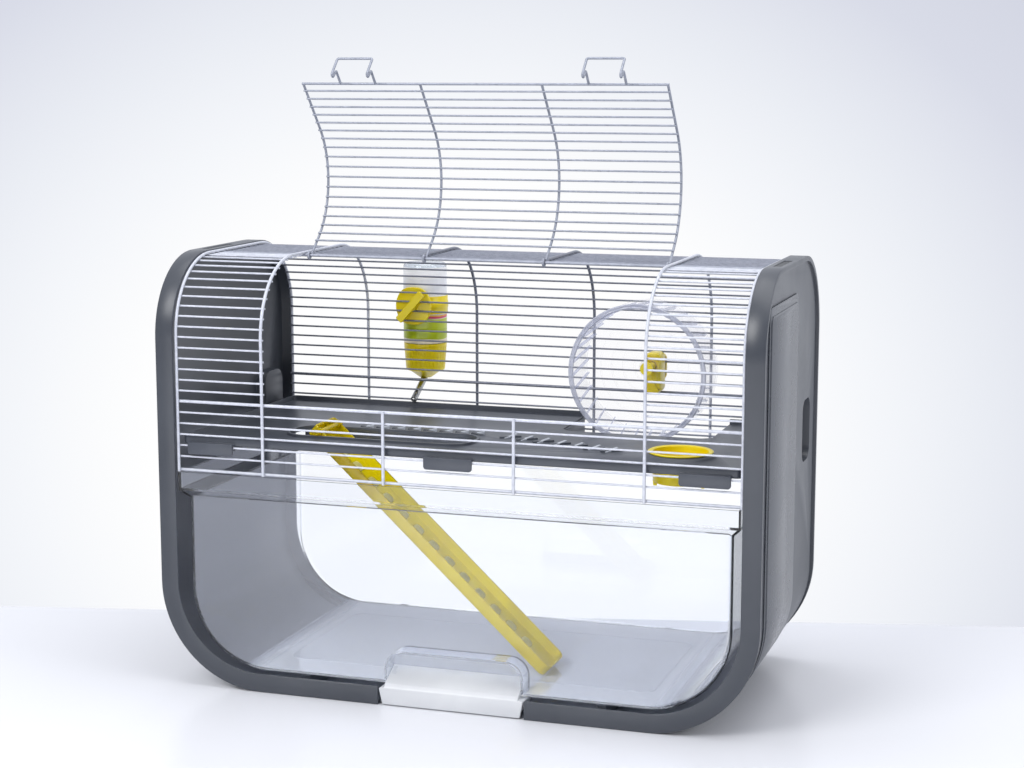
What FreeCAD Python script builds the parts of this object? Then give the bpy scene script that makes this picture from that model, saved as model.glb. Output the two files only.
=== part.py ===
# Hamster cage: a moulded U-shaped frame with a wire canopy, a hinged wire front door, a clear
# slide-out tray, a hooked-in shelf with ladder and bowl, a running wheel and a drinking bottle.
# Millimetres. X runs across the cage, -Y is the front, +Z is up; the origin is on the table,
# under the middle of the frame.
import FreeCAD, Part
import math
import os
import re

from FreeCAD import Placement, Rotation, Vector

doc = FreeCAD.newDocument("hamster_cage")
sheet = doc.addObject("Spreadsheet::Sheet", "dims")

SIZES = {
    # moulded frame
    "cage_width": 600, "cage_depth": 282, "cage_height": 426,
    "base_round": 105, "crown_round": 80, "band_width": 18,
    "shell_skin": 3, "panel_sink": 3, "edge_lip": 5,
    "panel_front": 29, "panel_rear": 171, "panel_foot": 36, "panel_drop": 32,
    "panel_step": 5, "panel_rise_one": 1.2, "panel_rise_two": 2.3,
    "grip_in": 49, "grip_z": 250, "grip_wide": 40, "grip_tall": 62, "grip_round": 12,
    "grip_skin": 2, "grip_cup": 17,
    "clip_y": -20, "clip_long": 60, "clip_wide": 8, "clip_deep": 4,
    # wire canopy
    "arch_wire_r": 1.5, "bar_wire_r": 0.95, "weld_sink": 0.15,
    "arch_gap": 5.5, "arch_head_gap": 2.5, "edge_arch_gap": 1.6, "side_arch_in": 110, "rib_x": 65,
    "skirt_z": 216.5, "sill_z": 284.4, "low_pitch": 10.9, "low_bars": 5,
    "hinge_y": -31, "bar_pitch": 10.4,
    # door
    "door_side_gap": 6, "door_rib_gap": 3.5, "door_wire_r": 1.25, "door_stand": 0.6,
    "eye_play": 0.35, "eye_wrap": 290, "door_open": 139, "door_end_z": 287.6,
    "door_pitch": 10.5, "door_first": 7.4, "door_last": 18,
    "loop_x": 126, "loop_half": 18.25, "loop_leg": 16.7, "loop_hook": 10.5, "loop_grip": 10.7,
    "loop_gap": 4.6, "loop_bend": 1.9,
    # tray
    "tray_side_gap": 10, "tray_end_gap": 8.8, "tray_wall": 2.2, "tray_round": 80,
    "tray_lift": 0.6, "tray_head_gap": 0.6, "collar_out": 8, "collar_end_gap": 3,
    "collar_tall": 26, "tray_edge": 5, "floor_pad_in_x": 84, "floor_pad_in_y": 46, "floor_pad": 0.5,
    "recess_mid": 3, "recess_wide": 136, "recess_deep": 20, "recess_top": 50, "recess_round": 16,
    "pull_wide": 146, "pull_gap": 0.8, "pull_head": 33, "rail_x": 150, "rail_wide": 8,
    "rail_gap": 0.3, "stop_tall": 3,
    # shelf, ladder and bowl
    "deck_skin": 2.5, "deck_side_gap": 3.5, "deck_end_gap": 1.8, "lip_skin": 2.4, "lip_tall": 7.5,
    "hook_in": 54, "hook_wide": 48, "hook_drop": 9, "hook_skin": 2.4, "hook_bay_gap": 12,
    "seat_gap": 0.3,
    "hatch_in_x": 104, "hatch_long": 192, "hatch_in_y": 92, "hatch_play": 2.5,
    "hatch_rim": 3, "hatch_rim_tall": 2.5,
    "tooth_count": 8, "tooth_pitch": 17, "tooth_tall": 3, "tooth_long": 13, "tooth_wide": 9,
    "tooth_back": 6, "louvre_count": 7, "louvre_long": 22, "louvre_wide": 4, "louvre_tall": 1.6,
    "louvre_turn": 38, "louvre_start": 26, "louvre_step_x": 19, "louvre_step_y": 6.5,
    "louvre_back": 35,
    "ladder_wide": 49, "ladder_wall": 2, "ladder_deep": 12, "ladder_pin_in": 38,
    "ladder_pin_r": 2.5, "ladder_angle": 42.9, "ladder_tab": 8, "tread_pitch": 22,
    "tread_long": 11, "tread_tall": 1, "ladder_drop": 9,
    "bowl_in_x": 95, "bowl_in_y": 84, "bowl_rim": 3, "bowl_r": 28, "bowl_taper": 3,
    "bowl_tall": 30, "bowl_wall": 1.6, "bowl_gap": 0.4, "bowl_ring": 9, "bowl_ring_tall": 4,
    # wheel
    "wheel_in": 166, "wheel_z": 304, "wheel_r": 70, "wheel_wall": 2, "wheel_deep": 58,
    "wheel_stand": 25.95, "wheel_ring": 7, "tread_count": 30, "hub_r": 9, "axle_r": 4,
    "axle_play": 0.08, "wheel_gap": 1, "bracket_wide": 18, "bracket_tall": 42,
    "clamp_thick": 3.5, "mesh_gap": 0.3,
    # bottle
    "bottle_in": 166, "bottle_r": 23.5, "bottle_foot": 306, "bottle_tall": 92, "bottle_wall": 1.2,
    "label_in": 12, "label_skin": 0.3, "cap_in": 3, "cap_tall": 26,
    "cap_nose": 8, "tube_r": 3.5, "tube_wall": 0.6, "tube_slope": 30, "tube_reach": 9,
    "tube_bend": 9, "ball_r": 2.8, "holder_r": 20, "holder_skin": 2, "lock_long": 40,
    "lock_wide": 9, "lock_thick": 4, "lock_stand": 4.2, "stud_r": 3,
}

# places and fits that follow from the driving sizes
PLACES = {
    "arch_y": "cage_depth / 2 - arch_gap",
    "arch_top": "cage_height - arch_head_gap",
    "arch_round": "crown_round - arch_gap + 1.5",
    "mesh_y": "arch_y - arch_wire_r - bar_wire_r + weld_sink",
    "mesh_in": "mesh_y - bar_wire_r - mesh_gap",
    "mesh_out": "mesh_y + bar_wire_r + mesh_gap",
    "panel_front_y": "panel_front - cage_depth / 2",
    "panel_rear_y": "panel_rear - cage_depth / 2",
    "panel_head": "cage_height - panel_drop",
    "grip_y": "cage_depth / 2 - grip_in",
    "side_arch_x": "cage_width / 2 - side_arch_in",
    "door_half": "side_arch_x - door_side_gap",
    "door_rib_x": "rib_x - door_rib_gap",
    "tray_half": "cage_width / 2 - band_width - tray_side_gap",
    "tray_front": "cage_depth / 2 - tray_end_gap",
    "tray_foot": "band_width + tray_lift",
    "tray_head": "skirt_z - arch_wire_r - tray_head_gap",
    "collar_front": "cage_depth / 2 - collar_end_gap",
    "floor_top": "tray_foot + tray_wall + floor_pad",
    "floor_pad_x": "tray_half - floor_pad_in_x",
    "floor_pad_y": "tray_front - floor_pad_in_y",
    "deck_foot": "sill_z - 4 * low_pitch + bar_wire_r + seat_gap",
    "deck_top": "deck_foot + deck_skin",
    "hook_x": "cage_width / 2 - hook_in",
    "hatch_mid_x": "hatch_in_x + hatch_long / 2 - cage_width / 2",
    "hatch_mid_y": "hatch_in_y - cage_depth / 2",
    "hatch_wide": "ladder_wide + 2 * hatch_play",
    "ladder_pin_x": "hatch_in_x + ladder_pin_in - cage_width / 2",
    "ladder_pin_z": "deck_top + hatch_rim_tall + ladder_pin_r + seat_gap",
    "bowl_x": "cage_width / 2 - bowl_in_x",
    "bowl_y": "bowl_in_y - cage_depth / 2",
    "bowl_rim_r": "bowl_r + bowl_rim",
    "bowl_foot_r": "bowl_r - bowl_taper",
    "wheel_x": "cage_width / 2 - wheel_in",
    "wheel_back": "mesh_in - wheel_stand",
    "wheel_front": "wheel_back - wheel_deep",
    "bottle_x": "bottle_in - cage_width / 2",
    "bottle_top": "bottle_foot + bottle_tall",
    "label_foot": "bottle_foot + label_in",
    "label_top": "bottle_top - label_in",
    "cap_r": "bottle_r - cap_in",
    "cap_foot": "bottle_foot - cap_tall",
    "cap_tip": "cap_foot - cap_nose",
}


def in_sheets(formula):
    """A formula with each word traced to the sheet that holds it."""
    def traced(match):
        word = match.group(0)
        return f"dims.{word}" if word in SIZES else f"places.{word}" if word in PLACES else word
    return re.sub(r"[a-z][a-z_]*", traced, str(formula))


def mm(alias):
    """A size or a place from the sheets, in millimetres or degrees."""
    return float((sheet if alias in SIZES else places).get(alias))


def bind(item, prop, formula):
    """Bind a property to a formula written with the sheets' own words."""
    item.setExpression(prop, in_sheets(formula))


for row, (alias, number) in enumerate(SIZES.items(), start=1):
    sheet.set(f"A{row}", alias.replace("_", " "))
    sheet.set(f"B{row}", str(number))
    sheet.setAlias(f"B{row}", alias)
places = doc.addObject("Spreadsheet::Sheet", "places")
for row, (alias, formula) in enumerate(PLACES.items(), start=1):
    places.set(f"A{row}", alias.replace("_", " "))
    places.set(f"B{row}", "=" + in_sheets(formula).replace("places.", ""))
    places.setAlias(f"B{row}", alias)
    doc.recompute()


# ---- building helpers ------------------------------------------------------------------------

def block(name, x, y, z):
    """A box between two formulas on each axis."""
    item = doc.addObject("Part::Box", name)
    for prop, place, (low, high) in (("Length", "x", x), ("Width", "y", y), ("Height", "z", z)):
        bind(item, prop, f"({high}) - ({low})")
        bind(item, "Placement.Base." + place, low)
    return item


def rod(name, radius, length, start, axis="z"):
    """A cylinder of a formula's radius and length that starts at three formulas."""
    item = doc.addObject("Part::Cylinder", name)
    turn = {"x": Rotation(Vector(0, 1, 0), 90), "y": Rotation(Vector(1, 0, 0), -90)}
    item.Placement = Placement(Vector(), turn.get(axis, Rotation()))
    bind(item, "Radius", radius)
    bind(item, "Height", length)
    for place, formula in zip("xyz", start):
        bind(item, "Placement.Base." + place, formula)
    return item


def rounded(name, base, along, at, radius, kind="Fillet"):
    """Fillet or chamfer the edges along one axis (or any) that lie at the box's named sides."""
    doc.recompute()
    box = base.Shape.BoundBox
    sides = {"x": (box.XMin, box.XMax), "y": (box.YMin, box.YMax), "z": (box.ZMin, box.ZMax)}
    picked = []
    for number, edge in enumerate(base.Shape.Edges, start=1):
        reach = edge.BoundBox
        low = {"x": reach.XMin, "y": reach.YMin, "z": reach.ZMin}
        high = {"x": reach.XMax, "y": reach.YMax, "z": reach.ZMax}
        spans = {a: high[a] - low[a] for a in "xyz"}
        if along and any(spans[a] > 1e-4 for a in "xyz" if a != along):
            continue
        if all(abs(low[a] - sides[a][end]) < 1e-3 and abs(high[a] - sides[a][end]) < 1e-3
               for a, end in at):
            picked.append(number)
    item = doc.addObject("Part::" + kind, name)
    item.Base = base
    size = mm(radius) if isinstance(radius, str) else radius
    item.Edges = [(number, size, size) for number in picked]
    return item


def joined(name, kind, base, tools):
    """A boolean of one object with one or more others: Cut, MultiFuse or MultiCommon."""
    tools = tools if isinstance(tools, list) else [tools]
    if kind == "Cut":
        item = doc.addObject("Part::Cut", name)
        item.Base = base
        item.Tool = tools[0] if len(tools) == 1 else joined(name + "_tools", "MultiFuse",
                                                           tools[0], tools[1:])
        return item
    item = doc.addObject("Part::" + kind, name)
    item.Shapes = [base] + tools
    return item


def group(name, items):
    """Separate solids kept together as one node."""
    item = doc.addObject("Part::Compound", name)
    item.Links = items
    return item


def outline(name, points, plane):
    """A closed sketch through points given in one plane: xz, yz or xy."""
    sketch = doc.addObject("Sketcher::SketchObject", name)
    turn = {"xz": Rotation(Vector(1, 0, 0), 90), "xy": Rotation(),
            "yz": Rotation(Vector(1, 1, 1), 120)}
    sketch.Placement = Placement(Vector(), turn[plane])
    for here, there in zip(points, points[1:] + points[:1]):
        sketch.addGeometry(Part.LineSegment(Vector(*here, 0), Vector(*there, 0)), False)
    return sketch


def prism(name, points, plane, low, high):
    """A closed outline drawn out along the axis it faces, from low to high."""
    sketch = outline(name + "_outline", points, plane)
    item = doc.addObject("Part::Extrusion", name)
    item.Base = sketch
    item.DirMode = "Custom"
    axis = {"xz": Vector(0, 1, 0), "xy": Vector(0, 0, 1), "yz": Vector(1, 0, 0)}[plane]
    item.Dir = axis
    sketch.Placement = Placement(axis * low, sketch.Placement.Rotation)
    item.LengthFwd = high - low
    item.Solid = True
    return item


def turned(name, points, centre, axis):
    """A ring or bowl: points of (radius, run) spun about an axis through the centre."""
    sketch = outline(name + "_outline", points, "xz")
    turn = {"z": Rotation(), "y": Rotation(Vector(1, 0, 0), -90)}[axis]
    sketch.Placement = Placement(centre, turn).multiply(
        Placement(Vector(), Rotation(Vector(1, 0, 0), 90)))
    item = doc.addObject("Part::Revolution", name)
    item.Source = sketch
    item.Axis = turn.multVec(Vector(0, 0, 1))
    item.Base = centre
    item.Angle = 360
    item.Solid = True
    return item


def swept(name, edges, radius, pose=None):
    """A round wire of a formula's radius along joined edges."""
    path = doc.addObject("Part::Feature", name + "_path")
    wire = Part.Wire(edges)
    if pose:
        wire.transformShape(pose.toMatrix())
    path.Shape = wire
    start = wire.Edges[0]
    tangent = start.tangentAt(start.FirstParameter)
    section = doc.addObject("Part::Circle", name + "_section")
    section.Placement = Placement(start.valueAt(start.FirstParameter),
                                  Rotation(Vector(0, 0, 1), tangent))
    bind(section, "Radius", radius)
    item = doc.addObject("Part::Sweep", name)
    item.Sections = [section]
    item.Spine = (path, [f"Edge{n}" for n in range(1, len(wire.Edges) + 1)])
    item.Solid = True
    item.Frenet = False
    return item


def line(*ends):
    return Part.LineSegment(*[Vector(*end) for end in ends]).toShape()


def bend(*three):
    return Part.Arc(*[Vector(*point) for point in three]).toShape()


# ---- the canopy's cross-section --------------------------------------------------------------

half_depth = mm("cage_depth") / 2
arch_y, arch_top, arch_round = mm("arch_y"), mm("arch_top"), mm("arch_round")
bend_y, bend_z = arch_y - arch_round, arch_top - arch_round
quarter = arch_round * math.pi / 2
bar_in = mm("arch_wire_r") + mm("bar_wire_r") - mm("weld_sink")
thick_in = 2 * mm("arch_wire_r") - mm("weld_sink")


def canopy_point(run, inward=0.0):
    """(y, z) at a run along the arch line from the front sill height, moved inward."""
    rise = bend_z - mm("sill_z")
    if run <= rise:
        return -(arch_y - inward), mm("sill_z") + run
    if run <= rise + quarter:
        turn = (run - rise) / arch_round
        return (-bend_y - (arch_round - inward) * math.cos(turn),
                bend_z + (arch_round - inward) * math.sin(turn))
    return -bend_y + run - rise - quarter, arch_top - inward


hinge_run = bend_z - mm("sill_z") + quarter + bend_y + mm("hinge_y")


def arch_edges(x, y_from, z_from, out=0.0, both=True):
    """Edges of an arch at x from the front foot, over the top; or only back from y_from."""
    y, top, r = arch_y + out, arch_top + out, arch_round + out
    slant = r * math.sqrt(0.5)
    front = [line((x, -y, z_from), (x, -y, bend_z)),
             bend((x, -y, bend_z), (x, -bend_y - slant, bend_z + slant), (x, -bend_y, top))]
    rear = [line((x, bend_y if not both else -bend_y, top), (x, bend_y, top))] if both else []
    if not both:
        rear = [line((x, y_from, top), (x, bend_y, top))]
    rear += [bend((x, bend_y, top), (x, bend_y + slant, bend_z + slant), (x, y, bend_z)),
             line((x, y, bend_z), (x, y, z_from))]
    return (front if both else []) + rear


def cross_bar(name, y, z, half, radius="bar_wire_r", pose=None, middle="0"):
    """A straight wire along X, half its length each side of the middle."""
    item = rod(name, radius, f"2 * ({half})", ("0", "0", "0"), "x")
    for place in "xyz":
        item.setExpression("Placement.Base." + place, None)
    spot = Placement(Vector(0, y, z), Rotation(Vector(0, 1, 0), 90))
    item.Placement = pose.multiply(spot) if pose else spot
    bind(item, "Placement.Base.x", f"({middle}) - ({half})")
    return item


# ---- moulded frame ---------------------------------------------------------------------------

def base_block(name, side, floor, head, deep, radius):
    """A block with its two bottom corners rounded across the cage."""
    box = block(name + "_box", (f"-cage_width / 2 + {side}", f"cage_width / 2 - ({side})"),
                (f"-({deep})", deep), (floor, head))
    return rounded(name, box, "y", [("z", 0)], radius)


def crown_block(name, side, floor, inset, radius):
    """A block with its two top edges rounded along the cage's depth."""
    box = block(name + "_box", (f"-cage_width / 2 - ({side})", f"cage_width / 2 + {side}"),
                (f"-cage_depth / 2 + {inset}", f"cage_depth / 2 - ({inset})"),
                (floor, f"cage_height - ({inset})"))
    return rounded(name, box, "x", [("z", 1)], radius)


def frame_shell():
    base, crown = mm("base_round"), mm("crown_round")
    sink, skin, band = mm("panel_sink"), mm("shell_skin"), mm("band_width")
    half = "cage_depth / 2"
    body = joined("shell_body", "MultiCommon",
                  base_block("shell_base", "0", "0", "cage_height", half, base),
                  crown_block("shell_crown", "1", "-1", "0", crown))
    side_sink = joined("shell_sink", "Cut",
                       crown_block("sink_crown", "2", "-2", "edge_lip", crown - mm("edge_lip")),
                       base_block("sink_keep", "panel_sink", "0", "cage_height + 2",
                                  half + " + 2", base - sink))
    hollow = joined("shell_hollow", "MultiCommon",
                    base_block("hollow_base", "panel_sink + shell_skin", "shell_skin",
                               "cage_height + 1", half, base - sink - skin),
                    crown_block("hollow_crown", "1", "-1", "shell_skin", crown - skin))
    mouth = base_block("shell_mouth", "band_width", "band_width", "cage_height + 2",
                       half + " + 2", base - band)
    notch = block("pull_notch", ("recess_mid - pull_wide / 2 - pull_gap",
                                 "recess_mid + pull_wide / 2 + pull_gap"),
                  ("-cage_depth / 2 - 1", "-cage_depth / 2 + edge_lip"), ("-1", "band_width + 1"))
    grips = [grip_slot("grip_left", -1), grip_slot("grip_right", 1)]
    slots = [block(f"clip_slot_{n}",
                   (f"{side} * (cage_width / 2 - band_width / 2) - clip_wide / 2",
                    f"{side} * (cage_width / 2 - band_width / 2) + clip_wide / 2"),
                   ("clip_y - clip_long / 2", "clip_y + clip_long / 2"),
                   ("cage_height - 2 * shell_skin", "cage_height + 1"))
             for n, side in enumerate(("-1", "1"))]
    walls = joined("shell_walls", "Cut", body, [side_sink, hollow, mouth, notch] + slots)
    cups = [grip_cup("cup_left", -1), grip_cup("cup_right", 1)]
    return joined("frame_shell", "Cut", joined("shell_whole", "MultiFuse", walls, cups), grips)


def grip_block(name, side, near, far, grow):
    """A block between two depths in from a side wall, as large as the hand slot and a wall."""
    depths = (far, near) if side > 0 else (near, far)
    low, high = (f"{side} * (cage_width / 2 - {depth})" for depth in depths)
    box = block(name + "_box", (low, high),
                (f"grip_y - grip_wide / 2 - {grow}", f"grip_y + grip_wide / 2 + {grow}"),
                (f"grip_z - grip_tall / 2 - {grow}", f"grip_z + grip_tall / 2 + {grow}"))
    return rounded(name, box, "x", [], mm("grip_round") + (0 if grow == "0" else mm(grow)))


def grip_slot(name, side):
    """The hand slot in a side wall, closed towards the cage."""
    return grip_block(name, side, "-5", "(grip_cup - grip_skin)", "0")


def grip_cup(name, side):
    """The cup behind a hand slot, which keeps the animal in."""
    return grip_block(name, side, "(panel_sink + shell_skin / 2)", "grip_cup", "grip_skin")


def side_panel(name, side):
    """A raised two-step panel that follows the side wall and its bottom bend."""
    base, sink = mm("base_round"), mm("panel_sink")
    layers = []
    for n, (rise, step) in enumerate((("panel_rise_one", 0), ("panel_rise_two", 1))):
        part = f"{name}_{n}"
        shell = joined(part + "_skin", "Cut",
                       base_block(part + "_out", f"panel_sink - {rise}", "0", "cage_height",
                                  "cage_depth / 2", base - sink + mm(rise)),
                       base_block(part + "_in", "panel_sink", "0", "cage_height + 1",
                                  "cage_depth / 2 + 1", base - sink))
        reach = ("0", "cage_width") if side > 0 else ("-cage_width", "0")
        inset = f"{step} * panel_step"
        window = block(part + "_window", reach,
                       (f"panel_front_y + {inset}", f"panel_rear_y - {inset}"),
                       (f"panel_foot + {inset}", f"panel_head - 1.6 * {inset}"))
        layers.append(joined(part + "_layer", "MultiCommon", shell,
                             rounded(part + "_frame", window, "x", [], 10 - 2 * n)))
    return joined(name, "MultiFuse", layers[0], layers[1:])


def canopy_clip(name, side):
    """A black snap clip under the top flange, its button standing in the flange's slot."""
    middle = f"{side} * (cage_width / 2 - band_width / 2)"
    button = block(name + "_button",
                   (f"{middle} - clip_wide / 2 + 0.4", f"{middle} + clip_wide / 2 - 0.4"),
                   ("clip_y - clip_long / 2 + 0.4", "clip_y + clip_long / 2 - 0.4"),
                   ("cage_height - 2 * shell_skin", "cage_height - 0.8"))
    inner, outer = "cage_width / 2 - band_width + 2", "cage_width / 2 - panel_sink - shell_skin"
    reach = (inner, outer) if side == "1" else (f"-({outer})", f"-({inner})")
    foot = block(name + "_foot", reach,
                 ("clip_y - clip_long / 2 - 4", "clip_y + clip_long / 2 + 4"),
                 ("cage_height - shell_skin - clip_deep", "cage_height - shell_skin"))
    return joined(name, "MultiFuse", foot, [button])


def drawer_rails():
    """Two low rails on the frame's floor that carry the tray and stop it at the back."""
    rails = []
    for n, side in enumerate(("-1", "1")):
        x = (f"{side} * rail_x - rail_wide / 2", f"{side} * rail_x + rail_wide / 2")
        bar = block(f"rail_{n}", x, ("-cage_depth / 2 + 10", "cage_depth / 2 - edge_lip"),
                    ("shell_skin", "tray_foot - rail_gap"))
        stop = block(f"rail_stop_{n}", x, ("tray_front + rail_gap", "cage_depth / 2 - edge_lip"),
                     ("shell_skin", "tray_foot + stop_tall"))
        rails.append(joined(f"rail_part_{n}", "MultiFuse", bar, [stop]))
    return group("drawer_rails", rails)


# ---- wire canopy -----------------------------------------------------------------------------

def canopy():
    foot = mm("skirt_z") - mm("arch_wire_r")
    edge_x = mm("cage_width") / 2 - mm("band_width") - mm("edge_arch_gap")
    edge_half = "cage_width / 2 - band_width - 0.5"
    group("edge_arches", [swept(f"edge_arch_{n}", arch_edges(side * edge_x, 0, foot), "arch_wire_r")
                          for n, side in enumerate((-1, 1))])
    group("side_arches", [swept(f"side_arch_{n}", arch_edges(side * mm("side_arch_x"), 0, foot),
                                "arch_wire_r") for n, side in enumerate((-1, 1))])
    group("rear_ribs", [swept(f"rear_rib_{n}",
                              arch_edges(side * mm("rib_x"), mm("hinge_y"), foot, both=False),
                              "arch_wire_r") for n, side in enumerate((-1, 1))])
    group("front_ribs", [rod(f"front_rib_{n}", "arch_wire_r", "sill_z - skirt_z + 2 * arch_wire_r",
                             (f"{side} * rib_x", f"{-arch_y}", "skirt_z - arch_wire_r"))
                         for n, side in enumerate(("-1", "1"))])
    low = [mm("sill_z") - mm("low_pitch") * (n + 1) for n in range(int(mm("low_bars")))]
    group("front_bars", [cross_bar(f"front_bar_{n}", -(arch_y - bar_in), z, edge_half)
                         for n, z in enumerate(low)])
    group("skirt_wires", [cross_bar(f"skirt_{n}", side * (arch_y - thick_in), mm("skirt_z"),
                                    edge_half, "arch_wire_r") for n, side in enumerate((-1, 1))])
    cross_bar("sill_wire", -(arch_y - thick_in), mm("sill_z"), edge_half, "arch_wire_r")
    cross_bar("hinge_wire", mm("hinge_y"), hinge_z, edge_half, "arch_wire_r")
    cross_bar("rear_belt_wire", arch_y - thick_in, low[0], edge_half, "arch_wire_r")
    count = round(hinge_run / mm("bar_pitch"))
    strip = [canopy_point(hinge_run / count * (n + 1), bar_in) for n in range(count - 1)]
    strip_half = f"({edge_half} - side_arch_x + 1.5) / 2"
    for name, side in (("left_strip_bars", "-1"), ("right_strip_bars", "1")):
        middle = f"{side} * ({edge_half} + side_arch_x - 1.5) / 2"
        group(name, [cross_bar(f"{name}_{n}", y, z, strip_half, middle=middle)
                     for n, (y, z) in enumerate(strip)])
    rear = [(arch_y - bar_in, z) for z in low[1:]] + [(arch_y - bar_in, mm("sill_z"))]
    rear += [(-y, z) for y, z in strip] + [(-mm("hinge_y"), arch_top - bar_in)]
    count = round(-2 * mm("hinge_y") / mm("bar_pitch"))
    gap = -2 * mm("hinge_y") / count
    rear += [(mm("hinge_y") + gap * (n + 1), arch_top - bar_in) for n in range(count - 1)]
    group("rear_bars", [cross_bar(f"rear_bar_{n}", y, z, edge_half)
                        for n, (y, z) in enumerate(rear)])
    return sorted(z for y, z in rear if y > bend_y)


# ---- door ------------------------------------------------------------------------------------

eye_r = mm("arch_wire_r") + mm("door_wire_r") + mm("eye_play")
hinge_z = arch_top + mm("door_stand") - eye_r
hinge_at = Vector(0, mm("hinge_y"), hinge_z)
door_pose = Placement(Vector(), Rotation(Vector(1, 0, 0), -mm("door_open")), hinge_at)


def door_upright(name, x):
    """A door wire from its foot, up and over, wrapped round the hinge wire as an eye."""
    out = mm("door_stand")
    y, top, r = arch_y + out, arch_top + out, arch_round + out
    slant = r * math.sqrt(0.5)
    hinge_y = mm("hinge_y")

    def eye_point(turn):
        angle = math.radians(turn)
        return x, hinge_y + eye_r * math.sin(angle), hinge_z + eye_r * math.cos(angle)

    wrap = mm("eye_wrap")
    edges = [line((x, -y, mm("door_end_z")), (x, -y, bend_z)),
             bend((x, -y, bend_z), (x, -bend_y - slant, bend_z + slant), (x, -bend_y, top)),
             line((x, -bend_y, top), (x, hinge_y, top)),
             bend(eye_point(0), eye_point(wrap / 2), eye_point(wrap))]
    return swept(name, edges, "door_wire_r", door_pose)


def latch_loop(name, middle):
    """A bent loop on the door's end bar: it snaps under the sill wire and is the finger grip."""
    y = -(arch_y + mm("door_stand"))
    z = mm("door_end_z")
    leg, half = mm("loop_leg"), mm("loop_half")
    inner, outer = y + mm("loop_hook"), y - mm("loop_grip")
    rail = [(y, z), (y, z - leg), (inner, z - leg - 0.6), (inner, z - leg - mm("loop_gap")),
            (outer, z - leg - mm("loop_gap") - 1.4)]
    left, right = middle - half, middle + half
    points = [Vector(left, *p) for p in rail] + [Vector(right, *p) for p in reversed(rail)]
    return swept(name, rounded_route(points, mm("loop_bend")), "door_wire_r", door_pose)


def rounded_route(points, radius):
    """Straight runs through the points, each corner an arc of the given radius."""
    edges, last = [], points[0]
    for before, here, after in zip(points, points[1:], points[2:]):
        into, out = (here - before).normalize(), (after - here).normalize()
        turn = math.acos(max(-1, min(1, into.dot(out))))
        cut = radius * math.tan(turn / 2)
        start, end = here - into * cut, here + out * cut
        middle = here + (out - into).normalize() * (radius / math.cos(turn / 2) - radius)
        if (start - last).Length > 1e-6:
            edges.append(Part.LineSegment(last, start).toShape())
        edges.append(Part.Arc(start, middle, end).toShape())
        last = end
    edges.append(Part.LineSegment(last, points[-1]).toShape())
    return edges


def door():
    out = mm("door_stand")
    group("door_uprights", [door_upright(f"upright_{n}", x) for n, x in enumerate(
        (-mm("door_half"), -mm("door_rib_x"), mm("door_rib_x"), mm("door_half")))])
    end_run = mm("door_end_z") - mm("sill_z")
    inside = mm("door_wire_r") + mm("bar_wire_r") - mm("weld_sink") - out
    bars = []
    count = int((hinge_run - end_run - mm("door_first") - mm("door_last")) // mm("door_pitch")) + 1
    for n in range(count):
        run = end_run + mm("door_first") + n * mm("door_pitch")
        y, z = canopy_point(run, inside)
        bars.append(cross_bar(f"door_bar_{n}", y, z, "door_half + 1", pose=door_pose))
    group("door_bars_grid", bars)
    cross_bar("door_end_bar", -(arch_y + out), mm("door_end_z"), "door_half + door_wire_r",
              "door_wire_r", door_pose)
    latch_loop("left_latch_loop", -mm("loop_x"))
    latch_loop("right_latch_loop", mm("loop_x"))


# ---- tray ------------------------------------------------------------------------------------

def tray_solid(name, thin, radius):
    """The tray's outer form, or its hollow when thinned by the wall."""
    body = block(name + "_body", (f"-tray_half + {thin}", f"tray_half - {thin}"),
                 (f"-tray_front + {thin}", f"tray_front - {thin}"),
                 (f"tray_foot + {thin}", "tray_head - 4"))
    body = rounded(name + "_round", body, "y", [("z", 0)], radius)
    body = rounded_ends(name + "_ends", body, mm("tray_edge") if thin == "0" else
                        mm("tray_edge") - mm("tray_wall"))
    head = "0" if thin == "0" else "2"
    collar = block(name + "_collar",
                   (f"-tray_half - collar_out + {thin}", f"tray_half + collar_out - {thin}"),
                   (f"-collar_front + {thin}", f"collar_front - {thin}"),
                   (f"tray_head - collar_tall + {thin}", f"tray_head + {head}"))
    collar = rounded(name + "_slope", collar, None, [("z", 0)], "collar_out", "Chamfer")
    return joined(name, "MultiFuse", body, [collar])


def rounded_ends(name, base, radius):
    """Fillet the U-shaped edges of the front and back faces."""
    doc.recompute()
    box = base.Shape.BoundBox
    picked = []
    for number, edge in enumerate(base.Shape.Edges, start=1):
        reach = edge.BoundBox
        flat = reach.YMax - reach.YMin < 1e-4
        top = reach.ZMin > box.ZMax - 1e-3
        if flat and not top:
            picked.append(number)
    item = doc.addObject("Part::Fillet", name)
    item.Base = base
    item.Edges = [(number, radius, radius) for number in picked]
    return item


def finger_recess(name, grow):
    """The arched finger recess in the tray's front, or that space grown by the wall."""
    box = block(name + "_box", (f"recess_mid - recess_wide / 2 - {grow}",
                                f"recess_mid + recess_wide / 2 + {grow}"),
                ("-tray_front - 10", f"-tray_front + recess_deep + {grow}"),
                ("band_width - 5", f"recess_top + {grow}"))
    radius = mm("recess_round") + (0 if grow == "0" else mm(grow))
    return rounded(name, box, "y", [("z", 1)], radius)


def tray():
    outside = tray_solid("tray_outside", "0", mm("tray_round"))
    inside = tray_solid("tray_inside", "tray_wall", mm("tray_round") - mm("tray_wall"))
    hollow = joined("tray_hollow", "Cut", inside, [finger_recess("recess_wall", "tray_wall")])
    pad = block("floor_pad_block", ("-floor_pad_x", "floor_pad_x"), ("-floor_pad_y", "floor_pad_y"),
                ("tray_foot + tray_wall - 0.2", "floor_top"))
    basin = joined("tray_basin", "Cut", outside, [hollow, finger_recess("recess_space", "0")])
    return joined("tray", "MultiFuse", basin, [rounded("floor_pad_round", pad, "z", [], 12)])


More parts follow.
